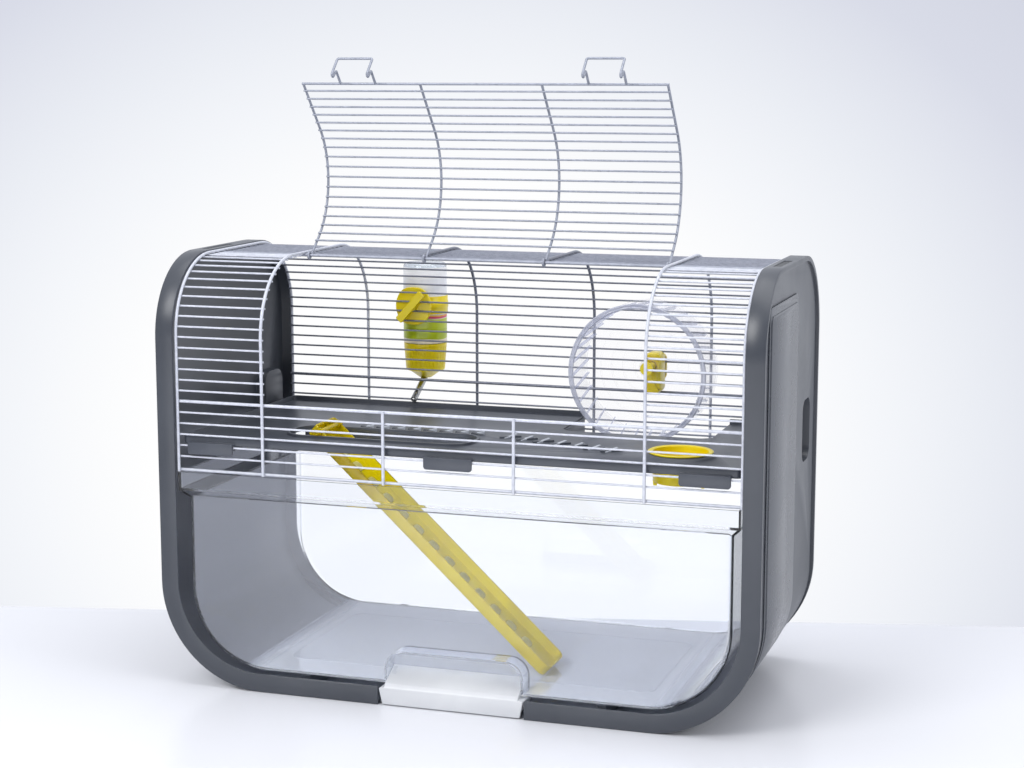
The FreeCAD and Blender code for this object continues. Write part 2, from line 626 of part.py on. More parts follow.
def tray_pull():
    """The white drawer pull: flush with the front band, sloping back into the recess."""
    front = -half_depth + 0.2
    back = -mm("tray_front") + mm("recess_deep")
    shelf_z = mm("band_width") - 0.2
    points = [(front, 0.8), (front, shelf_z), (front + 3.5, shelf_z + 3.2), (back, mm("pull_head")),
              (back, mm("shell_skin") + 4), (front + 4.4, mm("shell_skin") + 4), (front + 4.4, 0.8)]
    middle, half = mm("recess_mid"), mm("pull_wide") / 2
    lower = prism("pull_band", points, "yz", middle - half, middle + half)
    wedge = [(middle - half + 4, -1), (middle + half - 4, -1), (middle + half - 0.2, shelf_z - 1.4),
             (middle + mm("recess_wide") / 2 - 0.3, shelf_z + 0.2),
             (middle + mm("recess_wide") / 2 - 0.3, mm("pull_head") + 2),
             (middle - mm("recess_wide") / 2 + 0.3, mm("pull_head") + 2),
             (middle - mm("recess_wide") / 2 + 0.3, shelf_z + 0.2),
             (middle - half + 0.2, shelf_z - 1.4)]
    shape = joined("pull_shape", "MultiCommon", lower,
                   [prism("pull_wedge", wedge, "xz", -half_depth - 2, back + 2)])
    inner = [(front + 6.8, mm("shell_skin") + 2), (front + 6.8, shelf_z + 1.4),
             (back - 2.4, mm("pull_head") - 3.4), (back - 2.4, mm("shell_skin") + 2)]
    core = prism("pull_core", inner, "yz", middle - mm("recess_wide") / 2 + 2.4,
                 middle + mm("recess_wide") / 2 - 2.4)
    return joined("tray_pull", "Cut", shape, [core])


# ---- shelf, bowl and ladder ------------------------------------------------------------------

def shelf():
    side = "cage_width / 2 - band_width - deck_side_gap"
    end = mm("mesh_y") - mm("bar_wire_r") - mm("deck_end_gap")
    foot, top = mm("deck_foot"), mm("deck_top")
    head = foot + mm("lip_tall")
    pan = rounded("pan_round", block("pan", (f"-({side})", side), (f"{-end}", f"{end}"),
                                     (f"{foot}", f"{head}")), "z", [], 6)
    room = rounded("pan_room_round",
                   block("pan_room", (f"-({side}) + lip_skin", f"{side} - lip_skin"),
                         (f"{-end} + lip_skin", f"{end} - lip_skin"), (f"{top}", f"{head} + 1")),
                   "z", [], 4)
    dish = joined("shelf_dish", "Cut", pan, [room])
    long, wide = "hatch_long / 2", "hatch_wide / 2"
    rim = rounded("hatch_rim_round",
                  block("hatch_rim_block",
                        (f"hatch_mid_x - {long} - hatch_rim", f"hatch_mid_x + {long} + hatch_rim"),
                        (f"hatch_mid_y - {wide} - hatch_rim", f"hatch_mid_y + {wide} + hatch_rim"),
                        (f"{foot} + 0.5", f"{top} + hatch_rim_tall")), "z", [], 25)
    hatch = rounded("hatch_round",
                    block("hatch", (f"hatch_mid_x - {long}", f"hatch_mid_x + {long}"),
                          (f"hatch_mid_y - {wide}", f"hatch_mid_y + {wide}"),
                          (f"{foot} - 1", f"{head} + 20")), "z", [], 22)
    bowl_at = Vector(mm("bowl_x"), mm("bowl_y"), 0)
    hole_r = mm("bowl_r") + mm("bowl_gap")
    ring = turned("bowl_ring_cone",
                  [(hole_r, foot), (hole_r + mm("bowl_ring"), foot),
                   (hole_r + mm("bowl_ring"), top), (hole_r + 3.5, top + mm("bowl_ring_tall")),
                   (hole_r, top + mm("bowl_ring_tall"))], bowl_at, "z")
    hole = rod("bowl_hole", "bowl_r + bowl_gap", "60", ("bowl_x", "bowl_y", f"{foot} - 20"))
    bay = rounded("wheel_bay_round",
                  block("wheel_bay", ("wheel_x - wheel_r - 7", "wheel_x + wheel_r + 8"),
                        ("wheel_front - 8", "cage_depth"), (f"{foot} - 5", f"{head} + 30")),
                  "z", [("y", 0)], 14)
    extras = hooks(end) + teeth() + louvres()
    whole = joined("shelf_whole", "MultiFuse", dish, [rim, ring] + extras)
    return joined("shelf", "Cut", whole, [hatch, hole, bay])


def hooks(end):
    """Six hooks that reach out between the bars and down outside the wire they hang on."""
    out = mm("mesh_y") + mm("bar_wire_r") + mm("seat_gap")
    items = []
    for n, (x, side) in enumerate([(x, side) for side in (-1, 1) for x in (-1, 0, 1)]):
        near, far = sorted((side * (end - 1), side * (out + mm("hook_skin"))))
        leg = sorted((side * out, side * (out + mm("hook_skin"))))
        start = f"{x} * hook_x - hook_wide / 2"
        if side > 0 and x > 0:  # this one keeps clear of the wheel's bay
            start = "wheel_x + wheel_r + hook_bay_gap"
        span = (start, start + " + hook_wide")
        items.append(block(f"hook_arm_{n}", span, (f"{near}", f"{far}"),
                           ("deck_foot", "deck_top")))
        fang = block(f"hook_leg_{n}", span, (f"{leg[0]}", f"{leg[1]}"),
                     ("deck_foot - hook_drop", "deck_top"))
        items.append(rounded(f"hook_leg_round_{n}", fang, "y", [("z", 0)], 3))
    return items


def teeth():
    """A row of small slanted grip teeth behind the ladder opening."""
    items = []
    deck_top = mm("deck_top")
    long = mm("tooth_long")
    y = mm("hatch_mid_y") + mm("hatch_wide") / 2 + mm("hatch_rim") + mm("tooth_back")
    for n in range(int(mm("tooth_count"))):
        x = mm("hatch_mid_x") - 40 + n * mm("tooth_pitch")
        points = [(x, deck_top - 0.5), (x + long, deck_top - 0.5),
                  (x + long, deck_top + 0.4), (x + 2, deck_top + mm("tooth_tall"))]
        items.append(prism(f"tooth_{n}", points, "xz", y, y + mm("tooth_wide")))
    return items


def louvres():
    """Slanted raised grips on the way from the ladder to the bowl."""
    items = []
    deck_top = mm("deck_top")
    for n in range(int(mm("louvre_count"))):
        x = mm("hatch_mid_x") + mm("hatch_long") / 2 + mm("louvre_start") + mm("louvre_step_x") * n
        y = mm("hatch_mid_y") + mm("louvre_back") - mm("louvre_step_y") * n
        item = block(f"louvre_{n}", ("-louvre_long / 2", "louvre_long / 2"),
                     ("-louvre_wide / 2", "louvre_wide / 2"), ("-0.5", "louvre_tall"))
        for place in "xyz":
            item.setExpression("Placement.Base." + place, None)
        turn = Placement(Vector(x, y, deck_top), Rotation(Vector(0, 0, 1), mm("louvre_turn")))
        corner = Vector(-mm("louvre_long") / 2, -mm("louvre_wide") / 2, -0.5)
        item.Placement = turn.multiply(Placement(corner, Rotation()))
        items.append(item)
    return items


def food_bowl():
    top = mm("deck_top") + mm("bowl_ring_tall") + mm("seat_gap")
    wall, r, rim, low = mm("bowl_wall"), mm("bowl_r"), mm("bowl_rim_r"), mm("bowl_foot_r")
    foot = top + wall - mm("bowl_tall")
    cup = turned("bowl_cup", [(0, foot), (low - 3, foot), (low, foot + 2), (r, top), (rim, top),
                              (rim, top + wall), (r - wall, top + wall), (low - wall, foot + 3),
                              (low - wall - 2, foot + wall), (0, foot + wall)],
                 Vector(mm("bowl_x"), mm("bowl_y"), 0), "z")
    pins = [rod(f"bowl_pin_{n}", "2", "5", (f"bowl_x + {side} * (bowl_foot_r - 6)", "bowl_y - 9",
                                            f"{foot} - 4")) for n, side in enumerate(("-1", "1"))]
    return joined("food_bowl", "MultiFuse", cup, pins)


def ladder():
    """A channel with raised treads; two pins at its head lie across the opening's rim."""
    angle = math.radians(mm("ladder_angle"))
    drop, pin_z, floor_top = mm("ladder_drop"), mm("ladder_pin_z"), mm("floor_top")
    length = (pin_z - drop * math.cos(angle) - floor_top - mm("seat_gap")) / math.sin(angle)
    pose = Placement(Vector(mm("ladder_pin_x"), mm("hatch_mid_y"), pin_z),
                     Rotation(Vector(0, 1, 0), mm("ladder_angle")))
    half, wall, high = mm("ladder_wide") / 2, mm("ladder_wall"), mm("ladder_deep") - drop
    tab = mm("ladder_tab")
    plate = Part.makeBox(length + tab, 2 * half, wall, Vector(-tab, -half, -drop))
    sides = [Part.makeBox(length + tab, wall, high + drop, Vector(-tab, y, -drop))
             for y in (-half, half - wall)]
    cheek = mm("ladder_pin_r") + 2
    sides += [Part.makeCylinder(cheek, wall, Vector(0, y, 0), Vector(0, 1, 0))
              for y in (-half, half - wall)]
    pin = 2 * half + 2 * (mm("hatch_wide") / 2 - half + mm("hatch_rim") + 1)
    shaft = Part.makeCylinder(mm("ladder_pin_r"), pin, Vector(0, -pin / 2, 0), Vector(0, 1, 0))
    treads = []
    for n in range(int((length - 14) // mm("tread_pitch"))):
        x = 14 + n * mm("tread_pitch")
        treads.append(Part.makeBox(mm("tread_long"), half, mm("tread_tall") + 0.4,
                                   Vector(x, -half / 2, wall - drop - 0.4)))
    whole = plate.multiFuse(sides + [shaft] + treads).removeSplitter()
    item = doc.addObject("Part::Feature", "ladder")
    item.Shape = whole
    item.Placement = pose
    return item


# ---- wheel -----------------------------------------------------------------------------------

def wheel():
    at = Vector(mm("wheel_x"), 0, mm("wheel_z"))
    r, wall = mm("wheel_r"), mm("wheel_wall")
    front, back = mm("wheel_front"), mm("wheel_back")
    turned("wheel_drum", [(r - wall, front), (r, front), (r, back), (r - wall, back)], at, "y")
    turned("wheel_front_ring", [(r - mm("wheel_ring"), front - 2), (r + 1, front - 2),
                                (r + 1, front), (r - mm("wheel_ring"), front)], at, "y")
    bore = mm("axle_r") + mm("axle_play")
    hub = mm("hub_r")
    face = back - 2
    rings = [(bore, face - 14), (hub, face - 14), (hub, face)]
    for n in range(4):
        inner = 16 + n * 12
        rings += [(inner, face), (inner, face - 1.2), (inner + 1.6, face - 1.2), (inner + 1.6, face)]
    rings += [(r - wall, face), (r - wall, back), (hub, back), (hub, back + 3), (bore, back + 3)]
    turned("wheel_back_disc", rings, at, "y")
    treads = []
    for n in range(int(mm("tread_count"))):
        turn = Rotation(Vector(0, 1, 0), 360 * n / mm("tread_count"))
        bar = doc.addObject("Part::Box", f"tread_{n}")
        bind(bar, "Length", "3")
        bind(bar, "Height", "1.4")
        bind(bar, "Width", "wheel_back - 2 - wheel_front")
        slant = Rotation(Vector(1, 0, 0), 9)
        spot = Placement(Vector(-(r - wall), 0, -4.5), Rotation())
        bar.Placement = Placement(at + Vector(0, front, 0), turn).multiply(spot).multiply(
            Placement(Vector(), slant))
        treads.append(bar)
    keep = turned("tread_space", [(r - wall - 3, front), (r - wall, front), (r - wall, back - 2),
                                  (r - wall - 3, back - 2)], at, "y")
    rib_set = joined("tread_set", "MultiFuse", treads[0], treads[1:])
    joined("wheel_treads", "MultiCommon", rib_set, [keep])


def wheel_mount(rear_z):
    """The yellow bracket inside the back mesh, its clamp outside, and the axle."""
    x, z = "wheel_x", "wheel_z"
    gap_z = stud_height(rear_z, mm("wheel_z"))
    near = "wheel_back + 3 + wheel_gap"
    across = (f"{x} - bracket_wide / 2", f"{x} + bracket_wide / 2")
    body = rounded("bracket_round",
                   block("bracket_block", across, (near, "mesh_in"),
                         (f"{z} - bracket_tall / 2 - 8", f"{z} + bracket_tall / 2 - 8")),
                   "y", [], 6)
    stud = rod("bracket_stud", "stud_r", "mesh_out - mesh_in + 1",
               (x, "mesh_in - 1", f"{gap_z}"), "y")
    bore = rod("bracket_bore", "axle_r", f"mesh_in - ({near}) + 4", (x, f"{near} - 2", z), "y")
    joined("wheel_bracket", "Cut", joined("bracket_whole", "MultiFuse", body, [stud]), [bore])
    rounded("wheel_bracket_clamp",
            block("clamp_block", across, ("mesh_out", "mesh_out + clamp_thick"),
                  (f"{gap_z} - 14", f"{gap_z} + 14")), "y", [], 6)
    face = mm("wheel_back") - 2
    turned("wheel_axle", [(0, face - 18), (mm("axle_r") + 2.6, face - 18),
                          (mm("axle_r") + 2.6, face - 15), (mm("axle_r"), face - 15),
                          (mm("axle_r"), mm("mesh_in")), (0, mm("mesh_in"))],
           Vector(mm("wheel_x"), 0, mm("wheel_z")), "y")


def stud_height(rear_z, near):
    """The middle of the gap between bars that is nearest to a height."""
    middles = [(a + b) / 2 for a, b in zip(rear_z, rear_z[1:])]
    return min(middles, key=lambda z: abs(z - near))


# ---- drinking bottle -------------------------------------------------------------------------

def bottle(rear_z):
    x = mm("bottle_x")
    mesh_in, mesh_out = mm("mesh_in"), mm("mesh_out")
    plate_out = mesh_out + mm("holder_skin") + 2
    y = plate_out + mm("bottle_r") + mm("mesh_gap")
    at = Vector(x, y, 0)
    r, wall, foot, top = mm("bottle_r"), mm("bottle_wall"), mm("bottle_foot"), mm("bottle_top")
    neck = mm("cap_r") - 3.2
    turned("water_bottle", [(neck, foot - 14), (neck, foot), (r - 3, foot + 2), (r, foot + 6),
                            (r, top - 6), (r - 5, top), (0, top), (0, top - wall),
                            (r - 5.5, top - wall), (r - wall, top - 6.5), (r - wall, foot + 6.4),
                            (r - 3 - wall, foot + 3), (neck - wall, foot + 1.2),
                            (neck - wall, foot - 14)], at, "z")
    turned("bottle_label", [(r, mm("label_foot")), (r + mm("label_skin"), mm("label_foot")),
                            (r + mm("label_skin"), mm("label_top")), (r, mm("label_top"))], at, "z")
    cap, low, nose = mm("cap_r"), mm("cap_foot"), mm("cap_tip")
    tube = mm("tube_r")
    turned("bottle_cap", [(tube, nose), (tube + 5, nose), (cap - 3, low), (cap, low + 2),
                          (cap, foot - 1), (neck, foot - 1), (neck, foot - 16.5),
                          (tube, foot - 16.5)], at, "z")
    turned("bottle_gasket", [(neck - 8, foot - 16.5), (neck, foot - 16.5), (neck, foot - 14),
                             (neck - 8, foot - 14)], at, "z")
    slope = math.radians(mm("tube_slope"))
    mesh_y = mm("mesh_y")
    gap_z = stud_height(rear_z, 256)
    out = Vector(0, -math.cos(slope), -math.sin(slope))
    tip = Vector(x, mesh_y, gap_z) + out * mm("tube_reach")
    corner = Vector(x, y, gap_z + (y - mesh_y) * math.tan(slope))
    route = rounded_route([Vector(x, y, foot - 15), corner, tip], mm("tube_bend"))
    solid = swept("spout_solid", route, "tube_r")
    bore = swept("spout_bore", route, "tube_r - tube_wall")
    joined("spout_tube", "Cut", solid, [bore])
    ball = doc.addObject("Part::Sphere", "spout_ball")
    bind(ball, "Radius", "ball_r")
    ball.Placement = Placement(tip - out * 0.6, Rotation())
    stud_x, hold_z = x - 3.5, stud_height(rear_z, 354)
    disc = rod("holder_disc", "holder_r", "holder_skin + 2",
               (f"{stud_x}", f"{mesh_out}", f"{hold_z}"), "y")
    arm = block("holder_arm", (f"{x} - 9", f"{x} + 9"), (f"{mesh_out}", f"{plate_out} + 3"),
                (f"{hold_z} - 11", f"{hold_z} + 9"))
    band = turned("holder_band", [(r + 0.6, hold_z - 10), (r + 3, hold_z - 10),
                                  (r + 3, hold_z + 8), (r + 0.6, hold_z + 8)], at, "z")
    room = rod("holder_room", "bottle_r + 0.6", "60", (f"{x}", f"{y}", f"{hold_z} - 30"))
    lock_y = mesh_in - mm("lock_stand")
    stud = rod("holder_stud", "stud_r", f"{mesh_out} - {lock_y} + lock_thick + 1.6",
               (f"{stud_x}", f"{lock_y} - lock_thick - 0.6", f"{hold_z}"), "y")
    mouth = block("holder_mouth", (f"{x} - 8", f"{x} + 8"), (f"{y} + 5", f"{y} + 60"),
                  (f"{hold_z} - 20", f"{hold_z} + 20"))
    whole = joined("holder_whole", "MultiFuse", disc, [arm, band])
    carved = joined("holder_carved", "Cut", whole, [room, mouth])
    joined("bottle_holder", "MultiFuse", carved, [stud])
    lock = rounded("lock_round",
                   block("lock_block", ("-lock_long / 2", "lock_long / 2"), ("-lock_thick", "0"),
                         ("-lock_wide / 2", "lock_wide / 2")), "y", [], 4)
    eye = rod("lock_eye", "stud_r + 3", "lock_thick", ("0", "-lock_thick", "0"), "y")
    hole = rod("lock_hole", "stud_r + axle_play", "lock_thick + 2",
               ("0", "-lock_thick - 1", "0"), "y")
    item = joined("bottle_lock", "Cut", joined("lock_whole", "MultiFuse", lock, [eye]), [hole])
    item.Placement = Placement(Vector(stud_x, lock_y, hold_z), Rotation(Vector(0, 1, 0), -50))


# ---- build, check and write ------------------------------------------------------------------

NODES = ["frame_shell", "left_side_panel", "right_side_panel", "left_canopy_clip",
         "right_canopy_clip", "drawer_rails", "edge_arches", "side_arches", "rear_ribs",
         "front_ribs", "front_bars", "skirt_wires", "sill_wire", "hinge_wire", "rear_belt_wire",
         "left_strip_bars", "right_strip_bars", "rear_bars", "door_uprights", "door_bars_grid",
         "door_end_bar", "left_latch_loop", "right_latch_loop", "tray", "tray_pull", "shelf",
         "food_bowl", "ladder", "wheel_drum", "wheel_front_ring", "wheel_back_disc",
         "wheel_treads", "wheel_axle", "wheel_bracket", "wheel_bracket_clamp", "water_bottle",
         "bottle_label", "bottle_cap", "bottle_gasket", "spout_tube", "spout_ball",
         "bottle_holder", "bottle_lock"]

frame_shell()
side_panel("left_side_panel", -1)
side_panel("right_side_panel", 1)
canopy_clip("left_canopy_clip", "-1")
canopy_clip("right_canopy_clip", "1")
drawer_rails()
rear_heights = canopy()
door()
tray()
tray_pull()
shelf()
food_bowl()
ladder()
wheel()
wheel_mount(rear_heights)
bottle(rear_heights)
doc.recompute()

for item in doc.Objects:
    if "Invalid" in item.State or "Error" in item.State:
        raise RuntimeError(f"{item.Label} failed to build: {item.State}")
os.makedirs("parts", exist_ok=True)
for name in NODES:
    shape = doc.getObject(name).Shape
    if shape.isNull() or not shape.isValid():
        raise RuntimeError(f"{name} has no valid shape")
for name in NODES:
    shape = doc.getObject(name).Shape
    shape.exportStep(f"parts/{name}.step")
    print(f"{name}: {len(shape.Solids)} solids, {shape.Volume / 1000:.1f} cm3")
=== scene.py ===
import math

import bpy
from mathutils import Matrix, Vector


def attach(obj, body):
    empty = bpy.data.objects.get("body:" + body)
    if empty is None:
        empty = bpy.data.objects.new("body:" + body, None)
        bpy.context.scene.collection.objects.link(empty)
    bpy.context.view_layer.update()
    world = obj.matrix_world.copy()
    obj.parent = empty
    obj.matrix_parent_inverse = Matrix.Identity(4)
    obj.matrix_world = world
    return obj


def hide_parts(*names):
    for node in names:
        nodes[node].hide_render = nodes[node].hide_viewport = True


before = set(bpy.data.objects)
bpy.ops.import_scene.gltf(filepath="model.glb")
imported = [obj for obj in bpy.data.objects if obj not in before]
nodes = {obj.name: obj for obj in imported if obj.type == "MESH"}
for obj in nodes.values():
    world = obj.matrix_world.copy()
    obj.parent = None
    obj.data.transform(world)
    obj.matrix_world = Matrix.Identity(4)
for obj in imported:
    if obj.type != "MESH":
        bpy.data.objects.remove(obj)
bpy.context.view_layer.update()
print("frame loaded:", len(nodes), "nodes")


def mm(value):
    return value / 1000.0


def hexColour(code):  # sRGB hex to the linear colour that the shaders want
    parts = [int(code[n:n + 2], 16) / 255 for n in (1, 3, 5)]
    return [c / 12.92 if c <= 0.04045 else ((c + 0.055) / 1.055) ** 2.4 for c in parts] + [1.0]


cameraAt = {"place": (0.633, -1.861, 0.606), "tilt": 81.01, "turn": 18.26, "lens": 70.27,
            "sensor": 36, "reach": 60}

cameraData = bpy.data.cameras.new("camera")
cameraData.lens = cameraAt["lens"]
cameraData.sensor_width = cameraAt["sensor"]
cameraData.clip_end = cameraAt["reach"]
camera = bpy.data.objects.new("camera", cameraData)
camera.location = cameraAt["place"]
camera.rotation_euler = (math.radians(cameraAt["tilt"]), 0, math.radians(cameraAt["turn"]))
bpy.context.scene.collection.objects.link(camera)
bpy.context.scene.camera = camera
bpy.context.scene.view_settings.view_transform = "Standard"


def newMaterial(name):
    material = bpy.data.materials.new(name)
    material.use_nodes = True
    tree = material.node_tree
    tree.nodes.clear()
    return material, tree


def addNode(tree, kind, inputs=None, **settings):  # a node with its settings, values and links
    node = tree.nodes.new("ShaderNode" + kind)
    for key, value in settings.items():
        setattr(node, key, value)
    for key, value in (inputs or {}).items():
        socket = node.inputs[key]
        if isinstance(value, bpy.types.NodeSocket):
            tree.links.new(value, socket)
        else:
            socket.default_value = value
    return node


def rampStops(ramp, stops, interpolation="LINEAR"):
    ramp.color_ramp.interpolation = interpolation
    elements = ramp.color_ramp.elements
    while len(elements) > 1:
        elements.remove(elements[-1])
    for n, (place, code) in enumerate(stops):
        element = elements[0] if n == 0 else elements.new(place)
        element.position = place
        element.color = hexColour(code)
    return ramp.outputs["Color"]


def finishMaterial(tree, shader):
    addNode(tree, "OutputMaterial", {"Surface": shader.outputs[0]})


def mouldedPlastic(name, look, milky=0.0):
    # thermoplastic from a steel mould: faint cloudiness in the colour, a fine even grain
    material, tree = newMaterial(name)
    place = addNode(tree, "TexCoord").outputs["Object"]
    cloud = addNode(tree, "TexNoise", {"Vector": place, "Scale": 1 / mm(look["cloud"]),
                                       "Detail": 3.0, "Roughness": 0.55}).outputs["Fac"]
    tone = rampStops(addNode(tree, "ValToRGB", {"Fac": cloud}),
                     [(0.3, look["low"]), (0.72, look["high"])])
    grain = addNode(tree, "TexNoise", {"Vector": place, "Scale": 1 / mm(look["grain"]),
                                       "Detail": 2.0}).outputs["Fac"]
    rough = addNode(tree, "MapRange", {"Value": cloud, "From Min": 0.3, "From Max": 0.7,
                                       "To Min": look["rough"] - 0.03,
                                       "To Max": look["rough"] + 0.04}).outputs["Result"]
    bump = addNode(tree, "Bump", {"Height": grain, "Strength": look["relief"],
                                  "Distance": mm(0.05)}).outputs["Normal"]
    shader = addNode(tree, "BsdfPrincipled", {"Base Color": tone, "Roughness": rough,
                                              "Normal": bump, "IOR": look["ior"],
                                              "Specular IOR Level": look["gloss"],
                                              "Coat Weight": look["coat"],
                                              "Coat Roughness": 0.18,
                                              "Transmission Weight": milky})
    finishMaterial(tree, shader)
    return material


def clearPlastic(name, look):
    # clear moulded plastic, 1 to 2 mm thick: smooth faces, and the lamps shine through it
    material, tree = newMaterial(name)
    place = addNode(tree, "TexCoord").outputs["Object"]
    ripple = addNode(tree, "TexNoise", {"Vector": place, "Scale": 1 / mm(look["ripple"]),
                                        "Detail": 1.0}).outputs["Fac"]
    bump = addNode(tree, "Bump", {"Height": ripple, "Strength": look["relief"],
                                  "Distance": mm(0.4)}).outputs["Normal"]
    scuff = addNode(tree, "TexNoise", {"Vector": place, "Scale": 1 / mm(look["scuff"]),
                                       "Detail": 5.0}).outputs["Fac"]
    rough = addNode(tree, "MapRange", {"Value": scuff, "From Min": 0.45, "From Max": 0.75,
                                       "To Min": look["rough"],
                                       "To Max": look["rough"] + look["wear"]}).outputs["Result"]
    # less clear below the given height; on the tray this milky white is a painted reflection that
    # lightens its floor and lower walls
    low, high = look["hazeHeights"]
    height = addNode(tree, "SeparateXYZ", {"Vector": place}).outputs["Z"]
    clear = addNode(tree, "MapRange", {"Value": height, "From Min": mm(low), "From Max": mm(high),
                                       "To Min": 1 - look["hazeLow"],
                                       "To Max": 1 - look["hazeHigh"]}).outputs["Result"]
    glass = addNode(tree, "BsdfPrincipled", {"Base Color": hexColour(look["tint"]),
                                             "Roughness": rough, "Normal": bump,
                                             "IOR": look["ior"], "Transmission Weight": clear})
    through = addNode(tree, "BsdfTransparent", {"Color": hexColour(look["shade"])})
    path = addNode(tree, "LightPath")
    mix = addNode(tree, "MixShader", {"Fac": path.outputs["Is Shadow Ray"],
                                      1: glass.outputs[0], 2: through.outputs[0]})
    finishMaterial(tree, mix)
    return material


def paintedWire(name, look):
    # drawn steel wire under a sprayed silver-grey lacquer: slightly uneven, soft highlights
    material, tree = newMaterial(name)
    place = addNode(tree, "TexCoord").outputs["Object"]
    film = addNode(tree, "TexNoise", {"Vector": place, "Scale": 1 / mm(look["film"]),
                                      "Detail": 4.0}).outputs["Fac"]
    tone = rampStops(addNode(tree, "ValToRGB", {"Fac": film}),
                     [(0.3, look["low"]), (0.7, look["high"])])
    bump = addNode(tree, "Bump", {"Height": film, "Strength": 0.04,
                                  "Distance": mm(0.03)}).outputs["Normal"]
    rough = addNode(tree, "MapRange", {"Value": film, "From Min": 0.3, "From Max": 0.7,
                                       "To Min": look["rough"] - 0.05,
                                       "To Max": look["rough"] + 0.08}).outputs["Result"]
    shader = addNode(tree, "BsdfPrincipled", {"Base Color": tone, "Roughness": rough,
                                              "Normal": bump, "Metallic": look["metal"]})
    finishMaterial(tree, shader)
    return material


plastics = {  # cloud and grain are sizes in millimetres
    "frame": {"low": "#3c4048", "high": "#444850", "cloud": 60, "grain": 0.9, "rough": 0.34,
              "relief": 0.12, "ior": 1.53, "gloss": 0.5, "coat": 0.0},
    "panel": {"low": "#3b3f47", "high": "#434750", "cloud": 60, "grain": 0.9, "rough": 0.27,
              "relief": 0.12, "ior": 1.53, "gloss": 0.5, "coat": 0.0},
    "shelf": {"low": "#434750", "high": "#4d515a", "cloud": 50, "grain": 1.2, "rough": 0.33,
              "relief": 0.15, "ior": 1.5, "gloss": 0.5, "coat": 0.0},
    # pale grey for the shelf's teeth and louvres: a painted highlight on their tops
    "ribHighlight": {"low": "#b2b7c0", "high": "#c9cdd5", "cloud": 6, "grain": 0.8, "rough": 0.28,
               "relief": 0.15, "ior": 1.5, "gloss": 0.5, "coat": 0.2},
    "black": {"low": "#1c1f24", "high": "#24272d", "cloud": 20, "grain": 0.9, "rough": 0.45,
              "relief": 0.15, "ior": 1.5, "gloss": 0.5, "coat": 0.0},
    "white": {"low": "#cdcfd3", "high": "#d5d7da", "cloud": 40, "grain": 0.8, "rough": 0.3,
              "relief": 0.08, "ior": 1.53, "gloss": 0.5, "coat": 0.1},
    "yellow": {"low": "#fbdf00", "high": "#ffea0c", "cloud": 25, "grain": 0.8, "rough": 0.3,
               "relief": 0.1, "ior": 1.49, "gloss": 0.5, "coat": 0.15},
    "seal": {"low": "#d8d9dc", "high": "#e4e5e8", "cloud": 10, "grain": 0.5, "rough": 0.5,
             "relief": 0.1, "ior": 1.41, "gloss": 0.4, "coat": 0.0},
}
framePlastic = mouldedPlastic("satinAbsGrey", plastics["frame"])
panelPlastic = mouldedPlastic("satinAbsPanel", plastics["panel"])
shelfPlastic = mouldedPlastic("polypropyleneGrey", plastics["shelf"])
blackPlastic = mouldedPlastic("nylonBlack", plastics["black"])
whitePlastic = mouldedPlastic("glossAbsWhite", plastics["white"])
yellowPlastic = mouldedPlastic("polypropyleneYellow", plastics["yellow"], 0.08)  # milky
ribPaintedHighlight = mouldedPlastic("polypropylenePaintedHighlight", plastics["ribHighlight"])

clears = {  # hazeHeights: the tray is made milky white up to its floor and clear above; this milky white is a painted reflection that lightens its floor and lower walls
    "tray": {"tint": "#f6f8fc", "shade": "#eef0f4", "ior": 1.49, "rough": 0.0, "ripple": 90,
             "relief": 0.04, "scuff": 40, "wear": 0.0, "hazeHeights": (20.9, 22.5),
             "hazeLow": 0.42, "hazeHigh": 0.02},
    "bottle": {"tint": "#f5f8fa", "shade": "#f0f4f6", "ior": 1.45, "rough": 0.06, "ripple": 25,
               "relief": 0.1, "scuff": 15, "wear": 0.08, "hazeHeights": (300, 400),
               "hazeLow": 0.04, "hazeHigh": 0.04},
}
trayClear = clearPlastic("styreneClear", clears["tray"])
bottleClear = clearPlastic("polythene", clears["bottle"])


def thinClear(name, look):
    # thin clear styrene: faint where it is face on, a pale line wherever it turns edge on
    material, tree = newMaterial(name)
    place = addNode(tree, "TexCoord").outputs["Object"]
    cloud = addNode(tree, "TexNoise", {"Vector": place, "Scale": 1 / mm(look["cloud"]),
                                       "Detail": 3.0}).outputs["Fac"]
    bump = addNode(tree, "Bump", {"Height": cloud, "Strength": 0.1,
                                  "Distance": mm(0.3)}).outputs["Normal"]
    tone = rampStops(addNode(tree, "ValToRGB", {"Fac": cloud}),
                     [(0.3, look["low"]), (0.7, look["high"])])
    body = addNode(tree, "BsdfPrincipled", {"Base Color": tone, "Roughness": look["rough"],
                                            "IOR": look["ior"], "Normal": bump,
                                            "Coat Weight": 0.6, "Coat Roughness": 0.04})
    through = addNode(tree, "BsdfTransparent", {"Color": hexColour(look["shade"])})
    edge = addNode(tree, "LayerWeight", {"Blend": look["edge"], "Normal": bump}).outputs["Facing"]
    share = addNode(tree, "MapRange", {"Value": edge, "From Min": 0.0, "From Max": 1.0,
                                       "To Min": look["face"],
                                       "To Max": look["rim"]}).outputs["Result"]
    mix = addNode(tree, "MixShader", {"Fac": share, 1: through.outputs[0], 2: body.outputs[0]})
    finishMaterial(tree, mix)
    return material


thins = {
    "wheel": {"low": "#eceef8", "high": "#fbfbff", "cloud": 12, "rough": 0.1, "ior": 1.5,
              "shade": "#fefeff", "edge": 0.12, "face": 0.01, "rim": 0.42},
    "tread": {"low": "#c6cbe0", "high": "#e0e3f2", "cloud": 12, "rough": 0.1, "ior": 1.5,
              "shade": "#f6f7fc", "edge": 0.25, "face": 0.06, "rim": 0.7},
    "rim": {"low": "#c9ccdb", "high": "#dfe2ee", "cloud": 12, "rough": 0.08, "ior": 1.55,
            "shade": "#eceef6", "edge": 0.5, "face": 0.5, "rim": 1.0},
}
rimClear = thinClear("styreneRim", thins["rim"])
wheelThin = thinClear("styreneThin", thins["wheel"])
treadThin = thinClear("styreneTread", thins["tread"])

